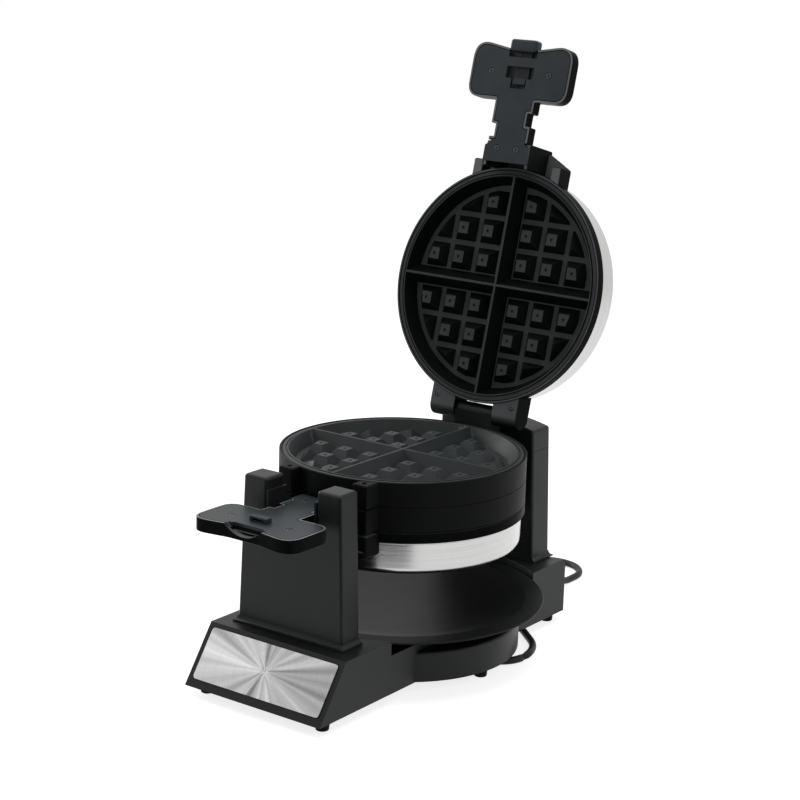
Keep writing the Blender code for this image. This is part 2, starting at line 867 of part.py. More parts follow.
def hinge_pin(height):
    reach = ear_outer_x - pin_short
    return baked(rod(pin_radius, (-reach, hinge_y, height), (reach, hinge_y, height)))


def lid_ring():
    """Black ring round the lid's plate, with the two ears that turn on the hinge pin."""
    ring = turned([(rim_radius, bezel_top_z), (rim_radius, lid_rim_z + rim_chamfer),
                   (rim_radius - rim_chamfer, lid_rim_z), (housing_inner, lid_rim_z),
                   (housing_inner, lid_rim_z + flange_drop + flange_thick + gap),
                   (bezel_inner_radius, lid_rim_z + flange_drop + flange_thick + gap),
                   (bezel_inner_radius, bezel_top_z)])
    return baked(boolean(ring, "UNION", hinge_ear(-1), hinge_ear(1)))


def lid_shell():
    """Steel cover of a lid, a drawn cup with a rounded edge."""
    top, low = lid_rim_z + shell_height, bezel_top_z + gap
    center = (shell_side_radius - shell_corner, top - shell_corner)
    outer = [(0, top)] + arc(center, shell_corner, math.pi / 2, 0, corner_steps) + [(shell_rim_radius, low)]
    inner = [(shell_rim_radius - shell_thick, low)]
    inner += arc(center, shell_corner - shell_thick, 0, math.pi / 2, corner_steps) + [(0, top - shell_thick)]
    return baked(turned(outer + inner))


def reflector():
    """Bright sheet between the element and the steel cover."""
    top = reflector_z + reflector_thick
    return baked(turned([(reflector_radius, top), (reflector_radius, reflector_z), (reflector_hole, reflector_z),
                         (reflector_hole, top)], mid_segments))


def thermostat():
    low = reflector_z + reflector_thick + gap
    return baked(rod(thermostat_radius, (0, 0, low), (0, 0, low + thermostat_height)))


def lid_side_cutter(clearance=gap):
    """The lid ring and steel cover with a clearance at the ring, to fit other pieces round them."""
    high, step = lid_rim_z + shell_height * 2, bezel_top_z + gap
    return turned([(0, high), (shell_rim_radius + gap, high), (shell_rim_radius + gap, step),
                   (rim_radius + clearance, step), (rim_radius + clearance, 0), (0, 0)])


def lid_bracket():
    """Front bracket of a lid: riser over the handle's end, web with slanting edges and two corner blocks."""
    top = lid_rim_z + bracket_top
    riser = rounded(box((-riser_half, riser_half), (riser_front_y, block_back_y), (cover_back_z, top)), bracket_round)
    cavity = box((-riser_half + riser_wall, riser_half - riser_wall), (riser_front_y + riser_wall, block_back_y),
                 (cover_back_z - overrun, top - riser_wall))
    end = web_outer_half - sink
    web = slab([(-end, block_front_y), (-web_front_half, web_front_y), (web_front_half, web_front_y),
                (end, block_front_y), (end, block_back_y + sink), (-end, block_back_y + sink)], top - web_thick, top)
    boolean(riser, "UNION", rounded(web, bracket_round))
    for side in (-1, 1):
        block = box((side * corner_block_inner_x, side * web_outer_half), (block_front_y, block_back_y),
                    (lid_rim_z + corner_block_rise, top - sink))
        boolean(riser, "UNION", rounded(block, block_round))
    return baked(boolean(riser, "DIFFERENCE", cavity, lid_side_cutter()))


def hinge_ear(side):
    """One ear of a lid, behind its ring, with its pin hole and a counterbored screw."""
    low = hinge_z - ear_radius
    outline = [(ear_front_y, low)] + arc((hinge_y, hinge_z), ear_radius, -math.pi / 2, math.pi / 2, 8)
    outline.append((ear_front_y, hinge_z + ear_radius))
    ear = slab(outline, *sorted((side * ear_inner_x, side * ear_outer_x)), "YZ")
    hole = rod(pin_hole_radius, (-rim_radius, hinge_y, hinge_z), (rim_radius, hinge_y, hinge_z))
    x = side * ear_screw_x
    counterbore = rod(screw_head_radius + gap, (x, ear_screw_y, low - overrun),
                      (x, ear_screw_y, low + screw_head_height + gap), screw_segments)
    return boolean(ear, "DIFFERENCE", hole, counterbore, lid_side_cutter(-sink))


def screw_head(place, low):
    """Screw head that sits flush in its counterbore."""
    x, y = place
    return baked(rod(screw_head_radius, (x, y, low), (x, y, low + screw_head_height), screw_segments))


def handle_corners(end_y, flared):
    """Corners and radii of the handle's outline, from the front middle, anticlockwise."""
    right = [((scoop_half, scoop_y), scoop_round), ((lobe_half, lobe_front_y), lobe_front_round),
             ((lobe_half, lobe_back_y), lobe_back_round), ((neck_half, lobe_back_y), neck_round)]
    right_notch = [((neck_half, notch_far_y), neck_round), ((notch_half, notch_far_y), neck_round),
                   ((notch_half, notch_mid_y), neck_round), ((neck_half, notch_mid_y), neck_round)]
    left_notch = [((-neck_half, notch_near_y), neck_round), ((-notch_half, notch_near_y), neck_round),
                  ((-notch_half, left_notch_y), neck_round), ((-neck_half, left_notch_y), neck_round)]
    end = [((neck_half, end_y), 0)]
    if flared:
        end = [((neck_half, neck_end_y), 0), ((flare_half, flare_y), 0), ((flare_half, end_y), 0)]
    left_end = [((-x, y), radius) for (x, y), radius in reversed(end)]
    left = [((-x, y), radius) for (x, y), radius in reversed(right)]
    return right + right_notch + end + left_end + left_notch + left


def pad_notch(height):
    """The opening in a handle's front edge for the latch's pad."""
    return box((-pad_notch_half, pad_notch_half), (lobe_front_y * 2, pad_notch_y), (0, seam_z + height))


def handle_shell(with_latch):
    """Handle's outer shell, open towards the cover, with bosses for the screws."""
    shell = slab(rounded_inset(handle_corners(neck_end_y + overrun, False), 0), seam_z - overrun, handle_roof_z)
    rounded(shell, handle_round, 1, math.radians(60))
    flat_face = box((-rim_radius, rim_radius), (lobe_front_y * 2, 0), (0, seam_z))
    hollow_end = neck_end_y + overrun * 2 + handle_wall
    hollow = slab(rounded_inset(handle_corners(hollow_end, False), handle_wall),
                  seam_z - overrun * 2, handle_roof_z - handle_roof)
    square_end = box((-rim_radius, rim_radius), (neck_end_y, 0), (0, rim_z))
    boolean(shell, "DIFFERENCE", hollow)
    bosses = [rod(boss_radius, (x, handle_screw_y, cover_back_z), (x, handle_screw_y, handle_roof_z - sink),
                  screw_segments) for x in (-handle_screw_x, handle_screw_x)]
    boolean(shell, "UNION", *bosses)
    if with_latch:
        boolean(shell, "DIFFERENCE", pad_notch(pad_notch_height))
    else:
        lining = box((-scoop_block_half, scoop_block_half), (scoop_y + sink, pad_notch_y + handle_wall),
                     (cover_back_z, handle_roof_z - sink))
        boolean(shell, "UNION", lining)
        boolean(shell, "DIFFERENCE", *finger_scoop())
    return baked(boolean(shell, "DIFFERENCE", flat_face, square_end))


def finger_scoop():
    """The lower handle's pocket for the latch's pad and the smile-shaped cut in its front edge."""
    pocket = box((-scoop_pocket_half, scoop_pocket_half), (scoop_y + handle_wall + sink, pad_notch_y),
                 (0, seam_z + scoop_pocket_depth))
    center = seam_z + smile_depth - smile_radius
    smile = rod(smile_radius, (0, lobe_front_y * 2, center), (0, pad_notch_y - handle_wall, center), mid_segments)
    return pocket, smile


def handle_cover(with_latch):
    """Flat inner cover of a handle, flush in its shell, carried on under the lid's bracket."""
    shrink = handle_wall + gap
    outline = rounded_inset(handle_corners(cover_end_y + shrink, True), shrink)
    cover = slab(outline, seam_z, seam_z + cover_thick)
    if with_latch:
        slot = box((-slot_half, slot_half), (slot_front_y, slot_back_y), (0, rim_z))
        stem_slot = box((-stem_slot_half, stem_slot_half), (slot_front_y, stem_slot_back_y), (0, rim_z))
        boolean(cover, "DIFFERENCE", slot, stem_slot, pad_notch(handle_thick))
    else:
        low = seam_z - catch_rise
        catch = box((-catch_half, catch_half), (catch_front_y, catch_back_y), (low, seam_z + sink))
        window = box((-catch_window_half, catch_window_half), (catch_front_y - overrun, catch_back_y + overrun),
                     (seam_z - catch_window_high, seam_z - catch_window_low))
        boolean(cover, "UNION", rounded(catch, catch_round))
        boolean(cover, "DIFFERENCE", window, *finger_scoop())
        boolean(cover, "DIFFERENCE", pad_notch(handle_thick))
    counterbores = [rod(screw_head_radius + gap, (x, y, seam_z - overrun), (x, y, seam_z + screw_head_height + gap),
                        screw_segments) for x, y in handle_screw_places()]
    return baked(boolean(cover, "DIFFERENCE", *counterbores))


def handle_screw_places():
    return [(side * x, y) for x, y in ((handle_screw_x, handle_screw_y), (neck_screw_x, neck_screw_y))
            for side in (-1, 1)]


def latch():
    """Spring latch: pad at the front edge, stem under the shell's roof and hook in the cover's slot."""
    pad = rounded(box((-pad_half, pad_half), (pad_front_y, pad_back_y), (seam_z - pad_proud, seam_z + pad_height)),
                  pad_round)
    low, high = seam_z + stem_low, seam_z + stem_low + stem_thick
    stem = box((-stem_half, stem_half), (pad_back_y - pad_round - sink, hook_back_y), (low, high))
    hook = box((-hook_half, hook_half), (hook_front_y, hook_back_y + sink), (seam_z + hook_low, high + sink))
    barb = box((-hook_half + sink, hook_half - sink), (hook_front_y - barb_reach, hook_front_y + sink),
               (seam_z + hook_low + sink, seam_z + hook_low + barb_thick))
    return baked(boolean(pad, "UNION", stem, hook, barb))


def drip_tray():
    """Shallow round tray: flat rim, slope and a gently dished floor that clears the turning lids."""
    slope_radius = tray_radius - tray_rim_width
    floor_radius = slope_radius - tray_slope_width
    edge_z = tray_rim_z - tray_step
    dish = []
    for i in range(tray_dish_steps + 1):
        share = 1 - i / tray_dish_steps
        dish.append((floor_radius * share, edge_z - tray_floor_drop * (1 - share ** 2)))
    top = list(reversed(dish)) + [(slope_radius, tray_rim_z), (tray_radius - tray_edge, tray_rim_z)]
    edge = [(tray_radius, tray_rim_z - tray_edge), (tray_radius, tray_rim_z - tray_thick)]
    under = [(slope_radius, tray_rim_z - tray_thick)] + [(radius, z - tray_thick) for radius, z in dish]
    return baked(turned(top + edge + under))


def strain_relief():
    """Grooved tapering sleeve where the cord leaves the base."""
    start = rear_block_y + gap
    tip = start + gland_length
    profile = [(0, tip), (gland_tip_radius, tip)]
    sleeve = gland_length - gland_flange
    for i in range(gland_grooves):
        for share, cut in ((0.15, 0), (0.35, gland_groove), (0.65, gland_groove), (0.85, 0)):
            along = (i + share) / gland_grooves
            radius = gland_tip_radius + (gland_root_radius - gland_tip_radius) * along - cut
            profile.append((radius, tip - sleeve * along))
    profile += [(gland_root_radius, start + gland_flange), (gland_flange_radius, start + gland_flange),
                (gland_flange_radius, start), (0, start)]
    return baked(turned(profile, small_segments, along_y((gland_x, 0, gland_z))))


def cord_points():
    """The cord's route with every corner bent to its radius."""
    points = [Vector(cord_corners[0][0])]
    for (before, _), (corner, radius), (after, _) in zip(cord_corners, cord_corners[1:], cord_corners[2:]):
        corner = Vector(corner)
        into, out = (Vector(before) - corner).normalized(), (Vector(after) - corner).normalized()
        half = into.angle(out) / 2
        center = corner + (into + out).normalized() * radius / math.sin(half)
        start = corner + into * radius / math.tan(half) - center
        end = corner + out * radius / math.tan(half) - center
        sweep = math.pi - 2 * half
        steps = max(2, math.ceil(sweep / cord_turn_step))
        pivot = start.cross(end).normalized()
        points += [center + Matrix.Rotation(sweep * i / steps, 3, pivot) @ start for i in range(steps + 1)]
    return points + [Vector(cord_corners[-1][0])]


def coil_points():
    """One unbroken winding that starts on the floor and ends at the plug, with a straight length at each end."""
    count = round(coil_turns * coil_points_per_turn)
    points = [Vector((coil_x + cord_diameter, coil_y - coil_radius, cord_rest))]
    for i in range(count + 1):
        turn = i / coil_points_per_turn
        angle = -math.pi / 2 - math.tau * turn
        points.append(Vector((coil_x + coil_radius * math.cos(angle), coil_y + coil_radius * math.sin(angle),
                              cord_rest + coil_pitch * turn)))
    last = points[-1]
    low = plug_half_height + gap
    for i in range(tail_points + 1):
        share = i / tail_points
        fall = share * share * (3 - 2 * share)
        points.append(Vector((last.x, last.y + tail_level + tail_fall * share, last.z + (low - last.z) * fall)))
    points.append(points[-1] + Vector((0, cord_diameter, 0)))
    return points


def route_length(points):
    return sum((b - a).length for a, b in zip(points, points[1:]))


def least_self_gap(points):
    """Smallest space between two lengths of a tube that are not neighbours along it."""
    dense, along, total = [], [], 0
    for a, b in zip(points, points[1:]):
        for i in range(4):
            dense.append(a + (b - a) * i / 4)
            along.append(total + (b - a).length * i / 4)
        total += (b - a).length
    apart = coil_radius * math.pi
    near = [(p - q).length for i, p in enumerate(dense) for j, q in enumerate(dense[:i]) if along[i] - along[j] > apart]
    return min(near) - cord_diameter


def plug():
    """Moulded plug with a neck towards the cord and two flat blades."""
    end = coil_points()[-1]
    start = end.y + gap
    neck = rod(plug_neck_radius, (end.x, start, end.z), (end.x, start + plug_neck_length + sink, end.z))
    body_start = start + plug_neck_length
    body = box((end.x - plug_half, end.x + plug_half), (body_start, body_start + plug_length),
               (end.z - plug_half_height, end.z + plug_half_height))
    rounded(body, plug_round)
    face = body_start + plug_length
    for side in (-1, 1):
        x = end.x + side * blade_spread
        boolean(body, "UNION", box((x - blade_thick / 2, x + blade_thick / 2), (face - sink, face + blade_length),
                                   (end.z - blade_half, end.z + blade_half)))
    return baked(boolean(body, "UNION", neck))


def build_base(root):
    node("base_housing", base_housing(), "black_plastic", root)
    node("bottom_cover", bottom_cover(), "black_plastic", root)
    node("face_plate", face_plate(), "brushed_steel", root)
    for where, (x, y) in (("front", front_foot), ("middle", side_foot), ("rear", rear_foot)):
        node(where + "_left_foot", foot(-x, y), "rubber", root)
        node(where + "_right_foot", foot(x, y), "rubber", root)
    node("front_column", front_column(), "black_plastic", root)
    node("yoke_liner", yoke_liner(), "bearing_nylon", root)
    node("rear_column", rear_column(), "black_plastic", root)
    node("rear_cap", rear_cap(), "black_plastic", root)
    node("rear_bush", rear_bush(), "bearing_nylon", root)


def build_cord(root):
    route, winding = cord_points(), coil_points()
    node("strain_relief", strain_relief(), "rubber", root)
    node("power_cord", baked(tube(route, cord_diameter / 2, 1)), "cord_black", root)
    node("cord_coil", baked(tube(winding, cord_diameter / 2, 1)), "cord_black", root)
    node("plug", plug(), "cord_black", root)
    print("cord length", round(route_length(route), 4), "coil length", round(route_length(winding), 4),
          "points", len(route), len(winding), "least self-gap", round(least_self_gap(winding), 5))


def build_rotor(rotor, plate):
    lower_rim = 2 * axis_height - rim_z
    housing = middle_housing()
    node("upper_middle_housing", housing, "black_plastic", rotor)
    node("lower_middle_housing", housing, "black_plastic", rotor, flipped=True)
    node("upper_middle_plate", placed(plate, rim_z), "nonstick", rotor)
    node("lower_middle_plate", placed(plate, lower_rim, True), "nonstick", rotor)
    node("middle_heater", heater(axis_height), "element_steel", rotor)
    node("hinge_block", hinge_block(), "black_plastic", rotor)
    node("upper_hinge_pin", hinge_pin(hinge_z), "bright_steel", rotor)
    node("lower_hinge_pin", hinge_pin(2 * axis_height - hinge_z), "bright_steel", rotor)
    node("rotor_shaft", rotor_shaft(), "bright_steel", rotor)
    node("shaft_collar", shaft_collar(), "bright_steel", rotor)


def build_lid(side, lid, plate, common, with_latch):
    flipped = not with_latch
    node(side + "_lid_shell", common["shell"], "brushed_steel", lid, flipped)
    node(side + "_lid_ring", common["ring"], "bezel_black", lid, flipped)
    node(side + "_lid_plate", placed(plate, lid_rim_z, True), "nonstick", lid, flipped)
    node(side + "_lid_heater", common["heater"], "element_steel", lid, flipped)
    node(side + "_lid_reflector", common["reflector"], "aluminium_sheet", lid, flipped)
    node(side + "_lid_thermostat", common["thermostat"], "bright_steel", lid, flipped)
    node(side + "_lid_bracket", common["bracket"], "black_plastic", lid, flipped)
    for i, place in enumerate(((-ear_screw_x, ear_screw_y), (ear_screw_x, ear_screw_y)), 1):
        node(f"{side}_hinge_screw_{i}", screw_head(place, hinge_z - ear_radius), "bright_steel", lid, flipped)
    for i, place in enumerate(handle_screw_places(), 1):
        node(f"{side}_handle_screw_{i}", screw_head(place, seam_z), "bright_steel", lid, flipped)
    node(side + "_handle_shell", handle_shell(with_latch), "handle_plastic", lid, flipped)
    node(side + "_handle_cover", handle_cover(with_latch), "handle_plastic", lid, flipped)


def lid_pieces():
    """Meshes that both lids have alike."""
    return {"shell": lid_shell(), "ring": lid_ring(), "heater": heater(heater_z), "reflector": reflector(),
            "thermostat": thermostat(), "bracket": lid_bracket()}


def stand_in_middle(root):
    """Slide the whole object along Y so that its bounding box stands over the origin."""
    bpy.context.view_layer.update()
    cords = ("power_cord", "cord_coil", "plug", "strain_relief")
    ys = [(piece.matrix_world @ v.co).y for piece in part_collection.objects
          if piece.type == "MESH" and piece.name not in cords for v in piece.data.vertices]
    root.location.y = -(min(ys) + max(ys)) / 2
    print("depth from", round(min(ys), 5), "to", round(max(ys), 5), "shift", round(root.location.y, 6))


def count_triangles():
    total = 0
    for piece in part_collection.objects:
        if piece.type == "MESH":
            piece.data.calc_loop_triangles()
            count = len(piece.data.loop_triangles)
            total += count
            print(piece.name, count)
    print("triangles", total)


def build():
    root = frame("waffle_maker", (0, 0, 0))
    rotor = frame("rotor", (0, 0, axis_height), root)
    upper_lid = frame("upper_lid", (0, hinge_y, hinge_z), rotor)
    lower_lid = frame("lower_lid", (0, hinge_y, 2 * axis_height - hinge_z), rotor)
    latch_frame = frame("upper_latch_frame", (0, (pad_front_y + pad_back_y) / 2, seam_z), upper_lid)
    tray_frame = frame("drip_tray_frame", (0, 0, tray_rim_z), root)
    plate = waffle_plate()
    common = lid_pieces()
    build_base(root)
    build_cord(root)
    build_rotor(rotor, plate)
    build_lid("upper", upper_lid, plate, common, True)
    build_lid("lower", lower_lid, plate, common, False)
    node("upper_latch", latch(), "handle_plastic", latch_frame)
    node("drip_tray", drip_tray(), "tray_enamel", tray_frame)
    upper_lid.rotation_euler.x = -open_angle
    stand_in_middle(root)
    count_triangles()


build()
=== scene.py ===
import json
import math

import bpy
from mathutils import Matrix, Vector


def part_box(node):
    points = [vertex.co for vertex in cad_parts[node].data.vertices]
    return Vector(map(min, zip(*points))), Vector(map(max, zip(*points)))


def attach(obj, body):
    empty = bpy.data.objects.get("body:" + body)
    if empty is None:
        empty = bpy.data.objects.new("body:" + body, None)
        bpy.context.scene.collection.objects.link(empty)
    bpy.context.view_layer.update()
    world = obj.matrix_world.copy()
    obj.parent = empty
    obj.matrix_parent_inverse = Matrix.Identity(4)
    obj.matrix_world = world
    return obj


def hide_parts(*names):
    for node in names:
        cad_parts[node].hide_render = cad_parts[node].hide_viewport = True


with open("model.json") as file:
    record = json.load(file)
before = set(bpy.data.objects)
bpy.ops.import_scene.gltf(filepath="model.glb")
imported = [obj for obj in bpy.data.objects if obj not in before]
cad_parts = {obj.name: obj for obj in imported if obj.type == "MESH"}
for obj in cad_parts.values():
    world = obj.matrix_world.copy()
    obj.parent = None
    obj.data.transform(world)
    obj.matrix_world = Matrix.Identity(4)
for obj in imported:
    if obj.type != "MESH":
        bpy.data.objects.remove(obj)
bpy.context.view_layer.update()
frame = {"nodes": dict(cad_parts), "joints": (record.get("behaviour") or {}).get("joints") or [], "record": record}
record = frame["record"]
joints = {joint["name"]: joint for joint in frame["joints"]}

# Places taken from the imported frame. Everything is drawn with both lids closed, centred on the turning axis,
# and then settled: moved to the frame's middle, turned over for the lower lid, or opened with the upper lid.
plateLow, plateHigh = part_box("upper_middle_plate")
middleY = (plateLow.y + plateHigh.y) / 2
axisHeight = joints["rotor_turn"]["pos_m"][2]
toMiddle = Matrix.Translation((0, middleY, 0))
aroundAxis = Matrix.Translation((0, 0, axisHeight))
turnOver = aroundAxis @ Matrix.Rotation(math.pi, 4, "Y") @ aroundAxis.inverted()
hingePlace = Vector(joints["upper_lid_hinge"]["pos_m"]) - Vector((0, middleY, 0))
openAngle = -math.radians(joints["upper_lid_hinge"]["range_deg"][1])
openLid = (Matrix.Translation(hingePlace) @ Matrix.Rotation(openAngle, 4, "X")
           @ Matrix.Translation(hingePlace).inverted())
settled = {"base": toMiddle, "upper": toMiddle @ openLid, "lower": toMiddle @ turnOver, "middle": toMiddle}

gap = 0.0003
over = 0.004
# painted shade: how dark each finish paints its sloping sides against its level faces
paintedShadeTones = {"paintedLitHandleShell": 0.04, "paintedLitLidPlastic": 0.06, "bezelBlack": 0.05}


# --- working with pieces -------------------------------------------------------------------------------------

def clearSelection():
    if bpy.context.object and bpy.context.object.mode != "OBJECT":
        bpy.ops.object.mode_set(mode="OBJECT")
    bpy.ops.object.select_all(action="DESELECT")


def pick(piece):
    clearSelection()
    piece.select_set(True)
    bpy.context.view_layer.objects.active = piece
    return piece


def applyPlace(piece, matrix=None):
    pick(piece)
    if matrix is not None:
        piece.matrix_world = matrix
    bpy.ops.object.transform_apply(location=True, rotation=True, scale=True)
    return piece


def tidyMesh(piece, flat=False):
    pick(piece)
    bpy.ops.object.mode_set(mode="EDIT")
    bpy.ops.mesh.select_all(action="SELECT")
    bpy.ops.mesh.remove_doubles(threshold=0.000004)
    if flat:
        bpy.ops.mesh.dissolve_limited(angle_limit=math.radians(0.4))
    bpy.ops.mesh.normals_make_consistent(inside=False)
    bpy.ops.object.mode_set(mode="OBJECT")
    return piece


def addBlock(xRange, yRange, zRange):
    clearSelection()
    low = Vector((min(xRange), min(yRange), min(zRange)))
    high = Vector((max(xRange), max(yRange), max(zRange)))
    bpy.ops.mesh.primitive_cube_add(size=1, location=(low + high) / 2)
    piece = bpy.context.object
    piece.scale = high - low
    return applyPlace(piece)


def addRod(radius, start, end, sides=48, endRadius=None):
    clearSelection()
    start, end = Vector(start), Vector(end)
    direction = end - start
    bpy.ops.mesh.primitive_cone_add(vertices=sides, radius1=radius, radius2=radius if endRadius is None else endRadius,
                                    depth=direction.length, location=(start + end) / 2,
                                    rotation=direction.to_track_quat("Z", "Y").to_euler())
    return applyPlace(bpy.context.object)


def addTurned(profile, sides=128, matrix=None):
    # one vertex is drawn through the profile in edit mode and spun round Z
    clearSelection()
    onAxis = profile[0][0] == 0 and profile[-1][0] == 0
    route = profile if onAxis else profile + profile[:1]
    bpy.ops.mesh.primitive_plane_add(size=0.001, location=(0, 0, 0))
    piece = bpy.context.object
    bpy.ops.object.mode_set(mode="EDIT")
    bpy.ops.mesh.select_mode(type="VERT")
    bpy.ops.mesh.select_all(action="SELECT")
    bpy.ops.mesh.merge(type="CENTER")
    bpy.ops.transform.translate(value=(route[0][0], 0, route[0][1]))
    for (r0, z0), (r1, z1) in zip(route, route[1:]):
        bpy.ops.mesh.extrude_vertices_move(TRANSFORM_OT_translate={"value": (r1 - r0, 0, z1 - z0)})
    bpy.ops.mesh.select_all(action="SELECT")
    bpy.ops.mesh.spin(steps=sides, angle=math.tau, center=(0, 0, 0), axis=(0, 0, 1), use_auto_merge=False)
    bpy.ops.object.mode_set(mode="OBJECT")
    tidyMesh(piece)
    return applyPlace(piece, matrix) if matrix is not None else piece


def alongY(place=(0, 0, 0)):
    return Matrix.Translation(place) @ Matrix.Rotation(-math.pi / 2, 4, "X")


def addOutline(points, low, high, plane="XY"):
    # a flat curve given its thickness, then turned into a mesh
    clearSelection()
    curve = bpy.data.curves.new("outline", "CURVE")
    curve.dimensions = "2D"
    curve.fill_mode = "BOTH"
    curve.extrude = (high - low) / 2
    spline = curve.splines.new("POLY")
    spline.points.add(len(points) - 1)
    for point, (a, b) in zip(spline.points, points):
        point.co = (a, b, 0, 1)
    spline.use_cyclic_u = True
    piece = bpy.data.objects.new("outline", curve)
    bpy.context.scene.collection.objects.link(piece)
    pick(piece)
    bpy.ops.object.convert(target="MESH")
    piece = tidyMesh(bpy.context.object, flat=True)
    middle = (low + high) / 2
    places = {
        "XY": Matrix.Translation((0, 0, middle)),
        "YZ": Matrix(((0, 0, 1, middle), (1, 0, 0, 0), (0, 1, 0, 0), (0, 0, 0, 1))),
        "XZ": Matrix(((1, 0, 0, 0), (0, 0, -1, middle), (0, 1, 0, 0), (0, 0, 0, 1))),
    }
    return applyPlace(piece, places[plane])


def useTools(piece, operation, *tools):
    for tool in tools:
        pick(piece)
        bpy.ops.object.modifier_add(type="BOOLEAN")
        modifier = piece.modifiers[-1]
        modifier.operation = operation
        modifier.object = tool
        modifier.solver = "EXACT"
        bpy.ops.object.modifier_apply(modifier=modifier.name)
        bpy.data.objects.remove(tool, do_unlink=True)
    return piece


def fuse(piece, *tools):
    return useTools(piece, "UNION", *tools)


def cut(piece, *tools):
    return useTools(piece, "DIFFERENCE", *tools)


def roundEdges(piece, width, segments=3, angle=35, flat=False):
    tidyMesh(piece, flat)
    bpy.ops.object.modifier_add(type="BEVEL")
    modifier = piece.modifiers[-1]
    modifier.width = width
    modifier.segments = segments
    modifier.limit_method = "ANGLE"
    modifier.angle_limit = math.radians(angle)
    bpy.ops.object.modifier_apply(modifier=modifier.name)
    return piece


def joinPieces(piece, *others):
    pick(piece)
    for other in others:
        other.select_set(True)
    bpy.ops.object.join()
    return piece


def smoothShade(piece, angle=32):
    pick(piece)
    bpy.ops.object.shade_smooth_by_angle(angle=math.radians(angle))
    bpy.ops.object.modifier_add(type="WEIGHTED_NORMAL")
    piece.modifiers[-1].keep_sharp = True
    bpy.ops.object.modifier_apply(modifier=piece.modifiers[-1].name)
    return piece


def keepDrawnPlace(piece):
    # the place before it is settled, for patterns that go round the lid's own axis
    drawn = piece.data.attributes.new("drawnPlace", "FLOAT_VECTOR", "POINT")
    for vertex, value in zip(piece.data.vertices, drawn.data):
        value.vector = vertex.co
    return piece


def shadeSides(piece, paintedShadeTone):
    # painted shade: per face, how dark the sloping sides are painted against the level floor and tops
    tone = piece.data.attributes.new("paintedShadeTone", "FLOAT", "FACE")
    for face, value in zip(piece.data.polygons, tone.data):
        level = abs(face.normal.z) ** 6
        value.value = paintedShadeTone + (1 - paintedShadeTone) * level
    return piece


def settle(piece, name, where, body, finish, nodes, angle=32):
    tidyMesh(piece)
    if finish in paintedShadeTones and "paintedShadeTone" not in piece.data.attributes:
        shadeSides(piece, paintedShadeTones[finish])
    smoothShade(piece, angle)
    keepDrawnPlace(piece)
    applyPlace(piece, settled[where])
    piece.name = name
    piece.data.name = name
    piece.data.materials.clear()
    piece.data.materials.append(finishes[finish])
    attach(piece, body)
    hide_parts(*nodes)
    return piece


def twinOf(piece):
    twin = piece.copy()
    twin.data = piece.data.copy()
    bpy.context.scene.collection.objects.link(twin)
    return twin


def mergedCopy(node):
    # a CAD node's loose triangles, merged into one surface
    piece = bpy.data.objects.new(node + "Copy", frame["nodes"][node].data.copy())
    bpy.context.scene.collection.objects.link(piece)
    return tidyMesh(piece, flat=True)


def arc(center, radius, start, end, steps):
    angles = [start + (end - start) * i / steps for i in range(steps + 1)]
    return [(center[0] + radius * math.cos(a), center[1] + radius * math.sin(a)) for a in angles]


def softened(points, radii, steps=10):
    # every corner of an outline gets its own radius
    result = []
    for i, corner in enumerate(points):
        here, before, after = Vector(corner), Vector(points[i - 1]), Vector(points[(i + 1) % len(points)])
        if not radii[i]:
            result.append(tuple(here))
            continue
        into, out = before - here, after - here
        reach = min(radii[i] / math.tan(into.angle(out) / 2), into.length * 0.49, out.length * 0.49)
        first, last = here + into.normalized() * reach, here + out.normalized() * reach
        for step in range(steps + 1):
            t = step / steps
            result.append(tuple(first * (1 - t) ** 2 + here * 2 * t * (1 - t) + last * t ** 2))
    return result


def inset(points, distance):
    result = []
    for i, corner in enumerate(points):
        before, here, after = Vector(points[i - 1]), Vector(corner), Vector(points[(i + 1) % len(points)])
        into, out = (here - before).normalized(), (after - here).normalized()
        normal = Vector((-into.y, into.x))
        bisector = (normal + Vector((-out.y, out.x))).normalized()
        result.append(tuple(here + bisector * distance / bisector.dot(normal)))
    return result


def roundedInset(corners, distance):
    points = [corner for corner, radius in corners]
    radii = []
    for i, (corner, radius) in enumerate(corners):
        into = Vector(corner) - Vector(points[i - 1])
        out = Vector(points[(i + 1) % len(points)]) - Vector(corner)
        convex = into.cross(out) > 0
        radii.append(max(radius - distance, 0) if convex else radius + distance if radius else 0)
    return softened(inset(points, distance), radii)


# --- finishes ------------------------------------------------------------------------------------------------

